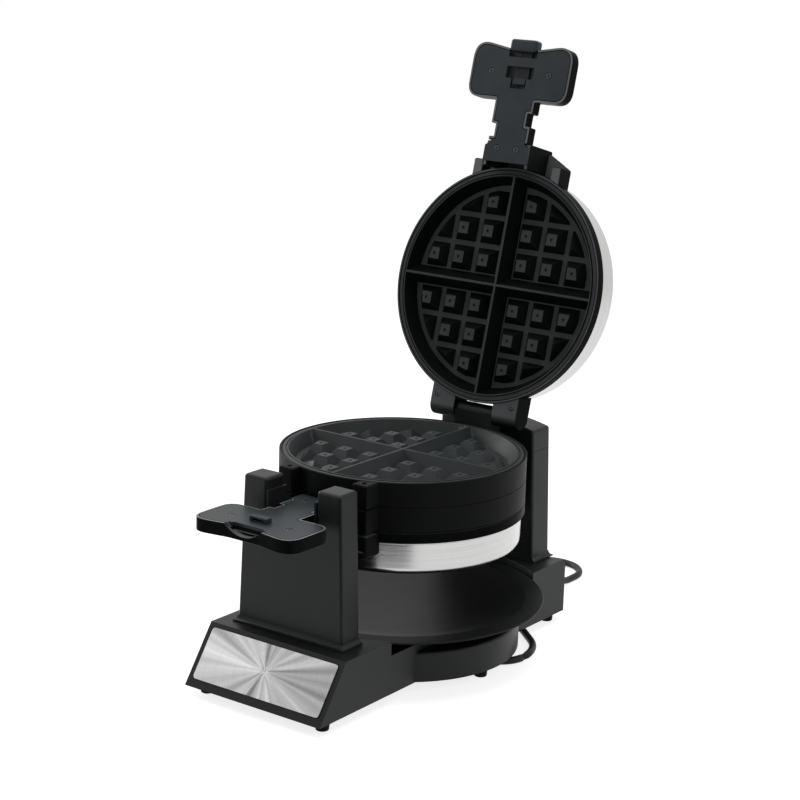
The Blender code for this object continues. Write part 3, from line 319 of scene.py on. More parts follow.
plastics = {
    "blackPlastic": {"slot": "black_plastic", "colour": (0.0050, 0.0062, 0.0064), "rough": 0.42, "roughSpread": 0.03,
                     "grain": 1500, "depth": 0.00006, "strength": 0.22, "specular": 0.22},
    "housingPlastic": {"slot": "black_plastic", "colour": (0.0034, 0.0038, 0.0038), "rough": 0.50,
                       "roughSpread": 0.03, "grain": 1500, "depth": 0.00006, "strength": 0.20, "specular": 0.06},
    "handlePlastic": {"slot": "handle_plastic", "colour": (0.0185, 0.0235, 0.0275), "rough": 0.42,
                      "roughSpread": 0.03, "grain": 1700, "depth": 0.00005, "strength": 0.20, "specular": 0.20},
    # painted light: a much lighter copy of the handle plastic, its level faces painted light grey as a sheen and its
    # sides painted dark
    "paintedLitHandleShell": {"slot": "handle_plastic", "colour": (0.110, 0.118, 0.120), "rough": 0.30,
                           "roughSpread": 0.03, "grain": 1700, "depth": 0.00005, "strength": 0.12, "specular": 0.25,
                           "sides": True},
    # painted light: a much lighter copy of the black plastic for the lid brackets, its level faces painted light grey
    # as a sheen and its sides painted dark
    "paintedLitLidPlastic": {"slot": "black_plastic", "colour": (0.105, 0.112, 0.114), "rough": 0.42, "roughSpread": 0.03,
                   "grain": 1500, "depth": 0.00006, "strength": 0.30, "specular": 0.22, "sides": True},
    # painted shade: the ring's sloping faces are painted dark against its level faces
    "bezelBlack": {"slot": "bezel_black", "colour": (0.0600, 0.0660, 0.0680), "rough": 0.36, "roughSpread": 0.03,
                   "grain": 2200, "depth": 0.00006, "strength": 0.35, "specular": 0.18, "sides": True},
    # painted shade: the cell sides are painted darker than the level floor and tops
    "nonstick": {"slot": "nonstick", "colour": (0.0240, 0.0280, 0.0285), "rough": 0.50, "roughSpread": 0.05,
                 "grain": 1300, "depth": 0.00010, "strength": 0.60, "specular": 0.16, "sides": True},
    "trayCoating": {"slot": "tray_enamel", "colour": (0.0055, 0.0060, 0.0066), "rough": 0.42, "roughSpread": 0.015,
                    "grain": 1400, "depth": 0.00005, "strength": 0.15, "specular": 0.10},
    "linerNylon": {"slot": "bearing_nylon", "colour": (0.008, 0.008, 0.009), "rough": 0.45, "roughSpread": 0.05,
                   "grain": 1800, "depth": 0.00003, "strength": 0.10, "specular": 0.2},
    "footRubber": {"slot": "rubber", "colour": (0.008, 0.008, 0.008), "rough": 0.72, "roughSpread": 0.06,
                   "grain": 1600, "depth": 0.00006, "strength": 0.30, "specular": 0.1},
    "cordSheath": {"slot": "cord_black", "colour": (0.008, 0.008, 0.009), "rough": 0.46, "roughSpread": 0.04,
                   "grain": 1900, "depth": 0.00003, "strength": 0.15, "specular": 0.2},
}
metals = {
    "lidSteel": {"slot": "brushed_steel", "colour": (0.53, 0.53, 0.525), "rough": 0.24, "streaks": "round"},
    "faceSteel": {"slot": "brushed_steel", "colour": (0.46, 0.46, 0.46), "rough": 0.26, "streaks": "face"},
    "brightSteel": {"slot": "bright_steel", "colour": (0.42, 0.42, 0.43), "rough": 0.30, "streaks": "fine"},
    "screwSteel": {"slot": "bright_steel", "colour": (0.055, 0.058, 0.062), "rough": 0.34, "streaks": "fine"},
    "elementSteel": {"slot": "element_steel", "colour": (0.20, 0.20, 0.21), "rough": 0.50, "streaks": "fine"},
    "sheetAluminium": {"slot": "aluminium_sheet", "colour": (0.60, 0.60, 0.61), "rough": 0.40, "streaks": "fine"},
}


def newMaterial(name):
    material = bpy.data.materials.new(name)
    material.use_nodes = True
    nodes, links = material.node_tree.nodes, material.node_tree.links
    return material, nodes, links, nodes["Principled BSDF"]


def addNode(nodes, kind, **inputs):
    made = nodes.new(kind)
    for key, value in inputs.items():
        made.inputs[key.replace("_", " ")].default_value = value
    return made


def spread(nodes, links, source, low, high):
    # turns a 0 to 1 pattern into a range of values
    ranged = nodes.new("ShaderNodeMapRange")
    ranged.inputs["From Min"].default_value = 0.3
    ranged.inputs["From Max"].default_value = 0.7
    ranged.inputs["To Min"].default_value = low
    ranged.inputs["To Max"].default_value = high
    links.new(source, ranged.inputs["Value"])
    return ranged.outputs["Result"]


def plasticFinish(name, look):
    # moulded surface: fine grain in the bump, slow changes of gloss and tone
    material, nodes, links, shader = newMaterial(name)
    place = nodes.new("ShaderNodeTexCoord").outputs["Object"]
    grain = addNode(nodes, "ShaderNodeTexNoise", Scale=look["grain"], Detail=3.0, Roughness=0.6)
    clouds = addNode(nodes, "ShaderNodeTexNoise", Scale=38.0, Detail=4.0, Roughness=0.55)
    for texture in (grain, clouds):
        links.new(place, texture.inputs["Vector"])
    bump = addNode(nodes, "ShaderNodeBump", Strength=look["strength"], Distance=look["depth"])
    links.new(grain.outputs["Fac"], bump.inputs["Height"])
    links.new(bump.outputs["Normal"], shader.inputs["Normal"])
    rough = spread(nodes, links, clouds.outputs["Fac"], look["rough"] - look["roughSpread"],
                   look["rough"] + look["roughSpread"])
    links.new(rough, shader.inputs["Roughness"])
    tone = nodes.new("ShaderNodeMix")
    tone.data_type = "RGBA"
    tone.inputs["A"].default_value = (*[c * 0.82 for c in look["colour"]], 1)
    tone.inputs["B"].default_value = (*[c * 1.18 for c in look["colour"]], 1)
    links.new(spread(nodes, links, clouds.outputs["Fac"], 0, 1), tone.inputs["Factor"])
    shader.inputs["Specular IOR Level"].default_value = look["specular"]
    if look.get("sides"):
        # painted shade: the sloping sides of cells and dividers are painted darker, with less sheen, than what is
        # level, as if less light fell on them
        share = nodes.new("ShaderNodeAttribute")
        share.attribute_name = "paintedShadeTone"
        paintedSideShadeMix = nodes.new("ShaderNodeMix")
        paintedSideShadeMix.data_type = "RGBA"
        paintedSideShadeMix.inputs["A"].default_value = (0.0008, 0.0010, 0.0010, 1)
        links.new(share.outputs["Fac"], paintedSideShadeMix.inputs["Factor"])
        links.new(tone.outputs["Result"], paintedSideShadeMix.inputs["B"])
        links.new(paintedSideShadeMix.outputs["Result"], shader.inputs["Base Color"])
        paintedSheenShade = nodes.new("ShaderNodeMath")
        paintedSheenShade.operation = "MULTIPLY"
        paintedSheenShade.inputs[1].default_value = look["specular"]
        links.new(share.outputs["Fac"], paintedSheenShade.inputs[0])
        links.new(paintedSheenShade.outputs["Value"], shader.inputs["Specular IOR Level"])
    else:
        links.new(tone.outputs["Result"], shader.inputs["Base Color"])
    material.diffuse_color = (*look["colour"], 1)
    return material


def roundedPlace(nodes, links, place, lengthwise):
    # radius, height and a slow turn round the axis, so that streaks run round it
    parts = nodes.new("ShaderNodeSeparateXYZ")
    links.new(place, parts.inputs["Vector"])
    flat = nodes.new("ShaderNodeCombineXYZ")
    links.new(parts.outputs["X"], flat.inputs["X"])
    links.new(parts.outputs["Y"], flat.inputs["Y"])
    radius = nodes.new("ShaderNodeVectorMath")
    radius.operation = "LENGTH"
    links.new(flat.outputs["Vector"], radius.inputs[0])
    unit = nodes.new("ShaderNodeVectorMath")
    unit.operation = "NORMALIZE"
    links.new(flat.outputs["Vector"], unit.inputs[0])
    turn = nodes.new("ShaderNodeVectorMath")
    turn.operation = "SCALE"
    turn.inputs["Scale"].default_value = lengthwise
    links.new(unit.outputs["Vector"], turn.inputs[0])
    across = nodes.new("ShaderNodeCombineXYZ")
    for socket, source in (("X", radius.outputs["Value"]), ("Y", radius.outputs["Value"]), ("Z", parts.outputs["Z"])):
        links.new(source, across.inputs[socket])
    total = nodes.new("ShaderNodeVectorMath")
    total.operation = "ADD"
    links.new(across.outputs["Vector"], total.inputs[0])
    links.new(turn.outputs["Vector"], total.inputs[1])
    return total.outputs["Vector"]


def metalFinish(name, look):
    material, nodes, links, shader = newMaterial(name)
    shader.inputs["Metallic"].default_value = 1.0
    if look["streaks"] == "round":
        place = nodes.new("ShaderNodeAttribute")
        place.attribute_name = "drawnPlace"
        vector = roundedPlace(nodes, links, place.outputs["Vector"], 0.0004)
        scale = 2600.0
    elif look["streaks"] == "face":
        place = nodes.new("ShaderNodeAttribute")
        place.attribute_name = "platePlace"
        vector = roundedPlace(nodes, links, place.outputs["Vector"], 0.0002)
        scale = 3200.0
    else:
        vector = nodes.new("ShaderNodeTexCoord").outputs["Object"]
        scale = 900.0
    streaks = addNode(nodes, "ShaderNodeTexNoise", Scale=scale, Detail=2.0, Roughness=0.5)
    links.new(vector, streaks.inputs["Vector"])
    bump = addNode(nodes, "ShaderNodeBump", Strength=0.12, Distance=0.00003)
    links.new(streaks.outputs["Fac"], bump.inputs["Height"])
    links.new(bump.outputs["Normal"], shader.inputs["Normal"])
    links.new(spread(nodes, links, streaks.outputs["Fac"], look["rough"] - 0.05, look["rough"] + 0.07),
              shader.inputs["Roughness"])
    tone = nodes.new("ShaderNodeMix")
    tone.data_type = "RGBA"
    tone.inputs["A"].default_value = (*[c * 0.90 for c in look["colour"]], 1)
    tone.inputs["B"].default_value = (*[min(c * 1.10, 1) for c in look["colour"]], 1)
    links.new(spread(nodes, links, streaks.outputs["Fac"], 0, 1), tone.inputs["Factor"])
    if look["streaks"] == "face":
        # painted reflection: light and dark sectors fan out from the middle of the plate, standing in for the
        # highlights of the spun steel
        turn = nodes.new("ShaderNodeVectorMath")
        turn.operation = "NORMALIZE"
        links.new(place.outputs["Vector"], turn.inputs[0])
        paintedFanReflection = addNode(nodes, "ShaderNodeTexNoise", Scale=2.3, Detail=3.0, Roughness=0.62)
        links.new(turn.outputs["Vector"], paintedFanReflection.inputs["Vector"])
        paintedSectorMix = nodes.new("ShaderNodeMix")
        paintedSectorMix.data_type = "RGBA"
        paintedSectorMix.blend_type = "MULTIPLY"
        paintedSectorMix.inputs["Factor"].default_value = 1.0
        paintedSectorShade = spread(nodes, links, paintedFanReflection.outputs["Fac"], 0.35, 1.75)
        links.new(tone.outputs["Result"], paintedSectorMix.inputs["A"])
        links.new(paintedSectorShade, paintedSectorMix.inputs["B"])
        links.new(paintedSectorMix.outputs["Result"], shader.inputs["Base Color"])
    else:
        links.new(tone.outputs["Result"], shader.inputs["Base Color"])
    material.diffuse_color = (*look["colour"], 1)
    return material


finishes = {name: plasticFinish(name, look) for name, look in plastics.items()}
finishes.update({name: metalFinish(name, look) for name, look in metals.items()})
nodeFinish = {"black_plastic": "blackPlastic", "handle_plastic": "handlePlastic", "bezel_black": "bezelBlack",
              "nonstick": "nonstick", "tray_enamel": "trayCoating", "brushed_steel": "lidSteel",
              "bright_steel": "brightSteel", "element_steel": "elementSteel", "aluminium_sheet": "sheetAluminium",
              "bearing_nylon": "linerNylon", "rubber": "footRubber", "cord_black": "cordSheath"}
for part in record["subparts"]:
    carried = frame["nodes"][part["node"]]
    for materialSlot in carried.material_slots:
        materialSlot.material = finishes[nodeFinish[part["material_slot"]]]
print("finishes ready")


# --- camera, floor and light ---------------------------------------------------------------------------------

cameraView = {"azimuth": 35.64, "pitch": 13.19, "roll": 1.78, "place": (0.99818, -1.37131, 0.65193),
              "focalPixels": 2055.47, "centre": (420.02, 365.90), "picture": 800, "sensor": 36}


def addCamera():
    azimuth, pitch, roll = (math.radians(cameraView[key]) for key in ("azimuth", "pitch", "roll"))
    forward = Vector((-math.sin(azimuth) * math.cos(pitch), math.cos(azimuth) * math.cos(pitch), -math.sin(pitch)))
    right = Vector((math.cos(azimuth), math.sin(azimuth), 0))
    up = right.cross(forward)
    sideways = right * math.cos(roll) + up * math.sin(roll)
    upwards = up * math.cos(roll) - right * math.sin(roll)
    data = bpy.data.cameras.new("camera")
    data.sensor_width = cameraView["sensor"]
    data.lens = cameraView["focalPixels"] / cameraView["picture"] * cameraView["sensor"]
    half = cameraView["picture"] / 2
    data.shift_x = (half - cameraView["centre"][0]) / cameraView["picture"]
    data.shift_y = (cameraView["centre"][1] - half) / cameraView["picture"]
    data.clip_start, data.clip_end = 0.05, 50
    camera = bpy.data.objects.new("camera", data)
    bpy.context.scene.collection.objects.link(camera)
    turn = Matrix((sideways, upwards, -forward)).transposed().to_4x4()
    camera.matrix_world = Matrix.Translation(Vector(cameraView["place"]) + Vector((0, middleY, 0))) @ turn
    bpy.context.scene.camera = camera


lights = {
    "leftBox": {"place": (-1.9, 0.1, 1.0), "aim": (0, 0, 0.22), "size": (1.0, 1.0), "power": 24},
    "topBox": {"place": (0.1, 0.2, 2.0), "aim": (0, 0, 0.15), "size": (1.2, 1.2), "power": 20},
    "rightBox": {"place": (1.7, 0.6, 1.3), "aim": (0, 0, 0.2), "size": (0.7, 1.0), "power": 4},
}


def addLights():
    for name, look in lights.items():
        data = bpy.data.lights.new(name, "AREA")
        data.shape = "RECTANGLE"
        data.size, data.size_y = look["size"]
        data.energy = look["power"]
        lamp = bpy.data.objects.new(name, data)
        bpy.context.scene.collection.objects.link(lamp)
        place = Vector(look["place"])
        lamp.matrix_world = (Matrix.Translation(place)
                             @ (Vector(look["aim"]) - place).to_track_quat("-Z", "Y").to_matrix().to_4x4())


surroundings = {"seen": 1.0, "fill": 0.50, "floorGlow": 0.80, "floorSeen": 0.40, "floorBounce": 0.55}


def seenDirectly(nodes, links):
    # 1 for what the camera sees itself, in a reflection or through glass
    path = nodes.new("ShaderNodeLightPath")
    first = nodes.new("ShaderNodeMath")
    first.operation = "MAXIMUM"
    links.new(path.outputs["Is Camera Ray"], first.inputs[0])
    links.new(path.outputs["Is Glossy Ray"], first.inputs[1])
    both = nodes.new("ShaderNodeMath")
    both.operation = "MAXIMUM"
    links.new(first.outputs["Value"], both.inputs[0])
    links.new(path.outputs["Is Transmission Ray"], both.inputs[1])
    return both.outputs["Value"]


def addSurroundings():
    world = bpy.data.worlds.new("studio")
    bpy.context.scene.world = world
    world.use_nodes = True
    nodes, links = world.node_tree.nodes, world.node_tree.links
    background = nodes["Background"]
    background.inputs["Color"].default_value = (1, 1, 1, 1)
    strength = nodes.new("ShaderNodeMapRange")
    strength.inputs["To Min"].default_value = surroundings["fill"]
    strength.inputs["To Max"].default_value = surroundings["seen"]
    links.new(seenDirectly(nodes, links), strength.inputs["Value"])
    links.new(strength.outputs["Result"], background.inputs["Strength"])

    clearSelection()
    bpy.ops.mesh.primitive_plane_add(size=14, location=(0, 0, 0))
    floor = bpy.context.object
    floor.name = "floor"
    material = bpy.data.materials.new("paleFloor")
    material.use_nodes = True
    nodes, links = material.node_tree.nodes, material.node_tree.links
    nodes.clear()
    bounce = addNode(nodes, "ShaderNodeBsdfDiffuse", Color=(*[surroundings["floorBounce"]] * 3, 1))
    seen = addNode(nodes, "ShaderNodeBsdfDiffuse", Color=(*[surroundings["floorSeen"]] * 3, 1))
    glow = addNode(nodes, "ShaderNodeEmission", Strength=surroundings["floorGlow"])
    added, mixed = nodes.new("ShaderNodeAddShader"), nodes.new("ShaderNodeMixShader")
    output = nodes.new("ShaderNodeOutputMaterial")
    links.new(seen.outputs["BSDF"], added.inputs[0])
    links.new(glow.outputs["Emission"], added.inputs[1])
    links.new(seenDirectly(nodes, links), mixed.inputs["Fac"])
    links.new(bounce.outputs["BSDF"], mixed.inputs[1])
    links.new(added.outputs["Shader"], mixed.inputs[2])
    links.new(mixed.outputs["Shader"], output.inputs["Surface"])
    floor.data.materials.append(material)


cards = {
    "frontCard": {"azimuth": 27, "reach": 0.36, "wide": 0.26, "low": 0.001, "high": 0.20, "tone": 0.02},
    "upperCard": {"azimuth": -12, "reach": 1.30, "wide": 0.35, "low": 0.25, "high": 0.95, "tone": 0.10},
}


def addCards():
    # dark cards that only reflections see
    for name, look in cards.items():
        half = look["wide"] / 2
        card = addBlock((-half, half), (-look["reach"] - 0.005, -look["reach"]), (look["low"], look["high"]))
        applyPlace(card, Matrix.Rotation(math.radians(look["azimuth"]), 4, "Z"))
        card.name = name
        material = bpy.data.materials.new(name)
        material.use_nodes = True
        shader = material.node_tree.nodes["Principled BSDF"]
        shader.inputs["Base Color"].default_value = (look["tone"], look["tone"], look["tone"], 1)
        shader.inputs["Roughness"].default_value = 1.0
        shader.inputs["Specular IOR Level"].default_value = 0.0
        card.data.materials.append(material)
        for ray in ("camera", "diffuse", "shadow", "transmission"):
            setattr(card, "visible_" + ray, False)


addCamera()
addLights()
addSurroundings()
addCards()
bpy.context.scene.view_settings.view_transform = "Standard"
print("camera, floor and light ready")


# --- power cord ----------------------------------------------------------------------------------------------

cordLook = {"diameter": 0.0065, "rest": 0.0035, "step": 7.5, "glandTip": 0.1877, "coilAt": (-0.1380, 0.0560),
            "coilDiameters": 11, "turns": 2.25, "pitch": 0.0075, "perTurn": 48, "tailLevel": 0.0220,
            "tailFall": 0.0480, "tailPoints": 16, "plugHalf": 0.0095}
cordCorners = [((0.0220, 0.1880, 0.0220), 0), ((0.0220, 0.2020, 0.0220), 0.0300), ((0.0220, 0.2400, 0.0035), 0.0300),
               ((0.0220, 0.2880, 0.0035), 0.0300), ((-0.0400, 0.2880, 0.0035), 0.0300),
               ((-0.0400, 0.1160, 0.0035), 0.0320), ((0.0480, 0.1160, 0.0035), 0.0600),
               ((0.1010, 0.0700, 0.0035), 0.0520), ((0.1010, 0.02025, 0.0035), 0.0265)]


def bentRoute(corners):
    points = [Vector(corners[0][0])]
    for (before, _), (corner, radius), (after, _) in zip(corners, corners[1:], corners[2:]):
        corner = Vector(corner)
        into, out = (Vector(before) - corner).normalized(), (Vector(after) - corner).normalized()
        half = into.angle(out) / 2
        center = corner + (into + out).normalized() * radius / math.sin(half)
        start = corner + into * radius / math.tan(half) - center
        end = corner + out * radius / math.tan(half) - center
        sweep = math.pi - 2 * half
        steps = max(2, math.ceil(sweep / math.radians(cordLook["step"])))
        pivot = start.cross(end).normalized()
        points += [center + Matrix.Rotation(sweep * i / steps, 3, pivot) @ start for i in range(steps + 1)]
    return points


def coilRoute():
    centerX, centerY = cordLook["coilAt"]
    radius = cordLook["diameter"] * cordLook["coilDiameters"] / 2
    points = []
    for i in range(round(cordLook["turns"] * cordLook["perTurn"]) + 1):
        turn = i / cordLook["perTurn"]
        angle = -math.pi / 2 - math.tau * turn
        points.append(Vector((centerX + radius * math.cos(angle), centerY + radius * math.sin(angle),
                              cordLook["rest"] + cordLook["pitch"] * turn)))
    last, low = points[-1], cordLook["plugHalf"] + gap
    for i in range(1, cordLook["tailPoints"] + 1):
        share = i / cordLook["tailPoints"]
        fall = share * share * (3 - 2 * share)
        points.append(Vector((last.x, last.y + cordLook["tailLevel"] + cordLook["tailFall"] * share,
                              last.z + (low - last.z) * fall)))
    points.append(points[-1] + Vector((0, cordLook["diameter"], 0)))
    return points


def addCord():
    coil = coilRoute()
    radius = cordLook["diameter"] * cordLook["coilDiameters"] / 2
    route = bentRoute(cordCorners + [((cordLook["coilAt"][0], cordLook["coilAt"][1] - radius, cordLook["rest"]), 0)])
    points = [point + Vector((0, middleY, 0)) for point in route + coil]
    curve = bpy.data.curves.new("powerCord", "CURVE")
    curve.dimensions = "3D"
    curve.bevel_depth = cordLook["diameter"] / 2
    curve.bevel_resolution = 5
    curve.use_fill_caps = True
    spline = curve.splines.new("POLY")
    spline.points.add(len(points) - 1)
    for point, place in zip(spline.points, points):
        point.co = (*place, 1)
    spline.use_smooth = True
    cord = bpy.data.objects.new("powerCord", curve)
    bpy.context.scene.collection.objects.link(cord)
    curve.materials.append(finishes["cordSheath"])
    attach(cord, "base")
    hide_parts("power_cord", "cord_coil")


addCord()


# --- cast waffle plates --------------------------------------------------------------------------------------

ring = {"radius": 0.1060, "inner": 0.1038, "seam": 0.16085, "rim": 0.1816, "lidRim": 0.1824, "bezelTop": 0.1909,
        "bezelInner": 0.1010, "edge": 0.0008}
waffle = {"cavity": 0.0980, "floor": 0.0920, "depth": 0.0120, "lip": 0.0993, "flange": 0.1035, "flangeDrop": 0.0005,
          "flangeThick": 0.0022, "body": 0.1004, "bodyLow": 0.0970, "height": 0.0174, "pyramidBase": 0.0230,
          "pyramidTop": 0.0105, "pyramidHeight": 0.0075, "pitch": 0.0267, "first": 0.0205, "along": 3,
          "gridRadius": 0.0885, "gridTop": 0.0805, "dividerBase": 0.0172, "crest": 0.0022, "dividerDrop": 0.0002,
          "dimple": 0.0014, "dimpleDepth": 0.0012, "round": 0.0005, "foot": 0.0126}


def addWafflePlate():
    look = waffle
    foot, low = -look["foot"], -look["flangeDrop"] - look["flangeThick"]
    lip, drop = look["lip"], look["flangeDrop"]
    dish = addTurned([(0, -look["depth"])] + arc((look["floor"] - 0.001, 0.001 - look["depth"]), 0.001, -math.pi / 2, -0.3, 4)
                     + [(look["cavity"] - 0.0004, -0.0008), (look["cavity"], -0.0001), (look["cavity"] + 0.0003, 0),
                        (lip - 0.0003, 0), (lip, -0.0003), (lip + 0.0001, -0.0013), (lip + 0.0009, -0.0013),
                        (lip + 0.0011, -drop), (look["flange"] - 0.0003, -drop), (look["flange"], -drop - 0.0003),
                        (look["flange"], low), (look["body"], low), (look["bodyLow"], -look["height"]),
                        (0, -look["height"])])
    half, crest, top = look["dividerBase"] / 2, look["crest"] / 2, -look["dividerDrop"]
    ridge = softened([(-half, foot), (half, foot), (crest, top), (-crest, top)], [0, 0, look["round"], look["round"]], 4)
    dividers = addOutline(ridge, -ring["radius"], ring["radius"], "YZ")
    fuse(dividers, addOutline(ridge, -ring["radius"], ring["radius"], "XZ"))
    useTools(dividers, "INTERSECT", addRod(look["floor"] + 0.0006, (0, 0, foot - over), (0, 0, 0), 128,
                                           look["cavity"] + 0.0006))
    pyramids, dimples = [], []
    steps = [look["first"] + look["pitch"] * i for i in range(look["along"])]
    height = look["pyramidHeight"] + 0.0006
    for x in [side * step for side in (-1, 1) for step in steps]:
        for y in [side * step for side in (-1, 1) for step in steps]:
            if math.hypot(x, y) > look["gridRadius"] + look["pyramidTop"] / 2:
                continue
            clearSelection()
            bpy.ops.mesh.primitive_cone_add(vertices=4, radius1=look["pyramidBase"] / math.sqrt(2),
                                            radius2=look["pyramidTop"] / math.sqrt(2), depth=height,
                                            location=(x, y, foot + height / 2), rotation=(0, 0, math.pi / 4))
            pyramids.append(applyPlace(bpy.context.object))
            if math.hypot(x, y) < look["gridTop"] - 0.002:
                dimples.append(addRod(look["dimple"], (x, y, foot + height - look["dimpleDepth"]),
                                      (x, y, foot + height + 0.001), 24))
    field = joinPieces(*pyramids)
    useTools(field, "INTERSECT", addRod(look["gridRadius"], (0, 0, foot - 0.0006), (0, 0, foot + height + 0.0006), 126,
                                        look["gridTop"]))
    cut(field, joinPieces(*dimples))
    roundEdges(field, look["round"], 2, 35)
    plate = fuse(dish, dividers, field)
    plate.name = "wafflePlate"
    return plate


firstPlate = addWafflePlate()
tidyMesh(firstPlate)
# painted shade: the lid plates get much darker sides than the middle plates, a shaded and a lit copy of one finish
plates = [("upperMiddlePlate", "middle", ring["rim"], False, "rotor", "upper_middle_plate", 0.85),
          ("lowerMiddlePlate", "lower", ring["rim"], False, "rotor", "lower_middle_plate", 0.85),
          ("upperLidPlate", "upper", ring["lidRim"], True, "upper_lid", "upper_lid_plate", 0.08),
          ("lowerLidPlate", "lower", ring["lidRim"], True, "lower_lid", "lower_lid_plate", 0.08)]
for name, where, level, turnedDown, body, node, paintedShadeTone in plates:
    plate = twinOf(firstPlate)
    shadeSides(plate, paintedShadeTone)
    turn = Matrix.Rotation(math.pi, 4, "Y") if turnedDown else Matrix()
    applyPlace(plate, Matrix.Translation((0, 0, level)) @ turn)
    settle(plate, name, where, body, "nonstick", [node], angle=40)
bpy.data.objects.remove(firstPlate, do_unlink=True)
print("waffle plates ready")


# --- middle housing, hinge block and shaft -------------------------------------------------------------------

cornerBlock = {"outer": 0.0463, "inner": 0.0310, "front": -0.1110, "back": -0.0860, "drop": 0.0004, "round": 0.0016,
               "hole": 0.0022, "holeDepth": 0.0040, "holeY": -0.1046}
hinge = {"y": 0.1131, "z": 0.1935, "knuckle": 0.0066, "pin": 0.0030, "pinHole": 0.0033, "reach": 0.0453,
         "half": 0.0197, "front": 0.0980, "back": 0.1197, "wires": 0.0058, "shaft": 0.0090, "shaftBore": 0.0062,
         "shaftEnd": 0.1510, "earInner": 0.0202, "earOuter": 0.0465, "ear": 0.0103, "earFront": 0.0900,
         "screwX": 0.0398, "screwY": 0.1046}
screwHead = {"radius": 0.0027, "height": 0.0012}


def addHousing():
    radius, inner, edge = ring["radius"], ring["inner"], ring["edge"]
    top = ring["rim"] - 0.003
    ledge = inner - 0.0026
    housing = addTurned(arc((inner + 0.0005, ring["rim"] - 0.0005), 0.0005, math.pi, math.pi / 2, 4)
                        + arc((radius - edge, ring["rim"] - edge), edge, math.pi / 2, 0, 6)
                        + arc((radius - 0.0003, ring["seam"] + 0.0003), 0.0003, 0, -math.pi / 2, 3)
                        + [(inner, ring["seam"]), (inner, top - 0.0022), (ledge, top - 0.0022), (ledge, top),
                           (inner, top)], 160)
    block = cornerBlock
    for side in (-1, 1):
        post = roundEdges(addBlock((side * block["inner"], side * block["outer"]), (block["front"], block["back"]),
                                   (ring["seam"], ring["rim"] - block["drop"])), block["round"], 4)
        x = side * (block["outer"] + block["inner"]) / 2
        level = ring["rim"] - block["drop"]
        cut(post, addRod(0.1049, (0, 0, ring["seam"] - over), (0, 0, ring["rim"] + over), 160),
            addRod(block["hole"], (x, block["holeY"], level - block["holeDepth"]), (x, block["holeY"], level + over), 32),
            addRod(block["hole"], (x, block["holeY"], level - 0.0006), (x, block["holeY"], level + 0.0006), 32,
                   block["hole"] + 0.0012))
        fuse(housing, post)
    return housing


firstHousing = addHousing()
secondHousing = twinOf(firstHousing)
settle(firstHousing, "upperMiddleHousing", "middle", "rotor", "housingPlastic", ["upper_middle_housing"])
settle(secondHousing, "lowerMiddleHousing", "lower", "rotor", "housingPlastic", ["lower_middle_housing"])


def addHingeBlock():
    low, high = 2 * axisHeight - hinge["z"], hinge["z"]
    block = addBlock((-hinge["half"], hinge["half"]), (hinge["front"], hinge["back"]), (low, high))
    for z in (low, high):
        fuse(block, addRod(hinge["knuckle"], (-hinge["half"], hinge["y"], z), (hinge["half"], hinge["y"], z), 64))
    cut(block, addRod(ring["radius"] + gap, (0, 0, 0), (0, 0, high * 2), 160))
    roundEdges(block, 0.0006, 2, 40)
    for z in (low, high):
        cut(block, addRod(hinge["pinHole"], (-0.1, hinge["y"], z), (0.1, hinge["y"], z), 32))
    return cut(block, addRod(hinge["wires"], (0, hinge["front"] - over, axisHeight), (0, hinge["back"] + over, axisHeight)))


settle(addHingeBlock(), "hingeBlock", "middle", "rotor", "blackPlastic", ["hinge_block"])
for name, node, level in (("upperHingePin", "upper_hinge_pin", hinge["z"]),
                          ("lowerHingePin", "lower_hinge_pin", 2 * axisHeight - hinge["z"])):
    pin = addRod(hinge["pin"], (-hinge["reach"], hinge["y"], level), (hinge["reach"], hinge["y"], level), 40)
    roundEdges(pin, 0.0005, 3)
    settle(pin, name, "middle", "rotor", "screwSteel", [node])
start = hinge["back"] + gap
shaft = addTurned([(hinge["shaftBore"], start), (hinge["shaft"] - 0.0005, start), (hinge["shaft"], start + 0.0005),
                   (hinge["shaft"], hinge["shaftEnd"] - 0.0005), (hinge["shaft"] - 0.0005, hinge["shaftEnd"]),
                   (hinge["shaftBore"], hinge["shaftEnd"])], 64, alongY((0, 0, axisHeight)))
settle(shaft, "rotorShaft", "middle", "rotor", "brightSteel", ["rotor_shaft"])
print("middle housing ready")


# --- lids: ring with ears, steel cover and front bracket -----------------------------------------------------

cover = {"rim": 0.1038, "side": 0.1027, "low": 0.1912, "top": 0.2190, "corner": 0.0062, "thick": 0.0009}
bracket = {"rise": 0.0195, "web": 0.0060, "webFront": -0.1245, "webHalf": 0.0205, "outer": 0.0464,
           "blockInner": 0.0360, "blockRise": 0.0006, "riserHalf": 0.0233, "riserFront": -0.1260, "wall": 0.0030,
           "low": 0.16375, "round": 0.0014}


def sideCutter(clearance):
    high, step = ring["lidRim"] + 0.08, ring["bezelTop"] + gap
    return addTurned([(0, high), (cover["rim"] + gap, high), (cover["rim"] + gap, step),
                      (ring["radius"] + clearance, step), (ring["radius"] + clearance, 0), (0, 0)], 160)


def addEar(side):
    low = hinge["z"] - hinge["ear"]
    outline = [(hinge["earFront"], low)] + arc((hinge["y"], hinge["z"]), hinge["ear"], -math.pi / 2, math.pi / 2, 32)
    outline.append((hinge["earFront"], hinge["z"] + hinge["ear"]))
    ear = addOutline(outline, *sorted((side * hinge["earInner"], side * hinge["earOuter"])), "YZ")
    roundEdges(ear, 0.0008, 3, 50)
    x = side * hinge["screwX"]
    reach = hinge["reach"] + gap
    return cut(ear, addRod(hinge["pinHole"], (-reach, hinge["y"], hinge["z"]), (reach, hinge["y"], hinge["z"]), 32),
               addRod(screwHead["radius"] + gap, (x, hinge["screwY"], low - over),
                      (x, hinge["screwY"], low + screwHead["height"] + gap), 40), sideCutter(-0.0006))


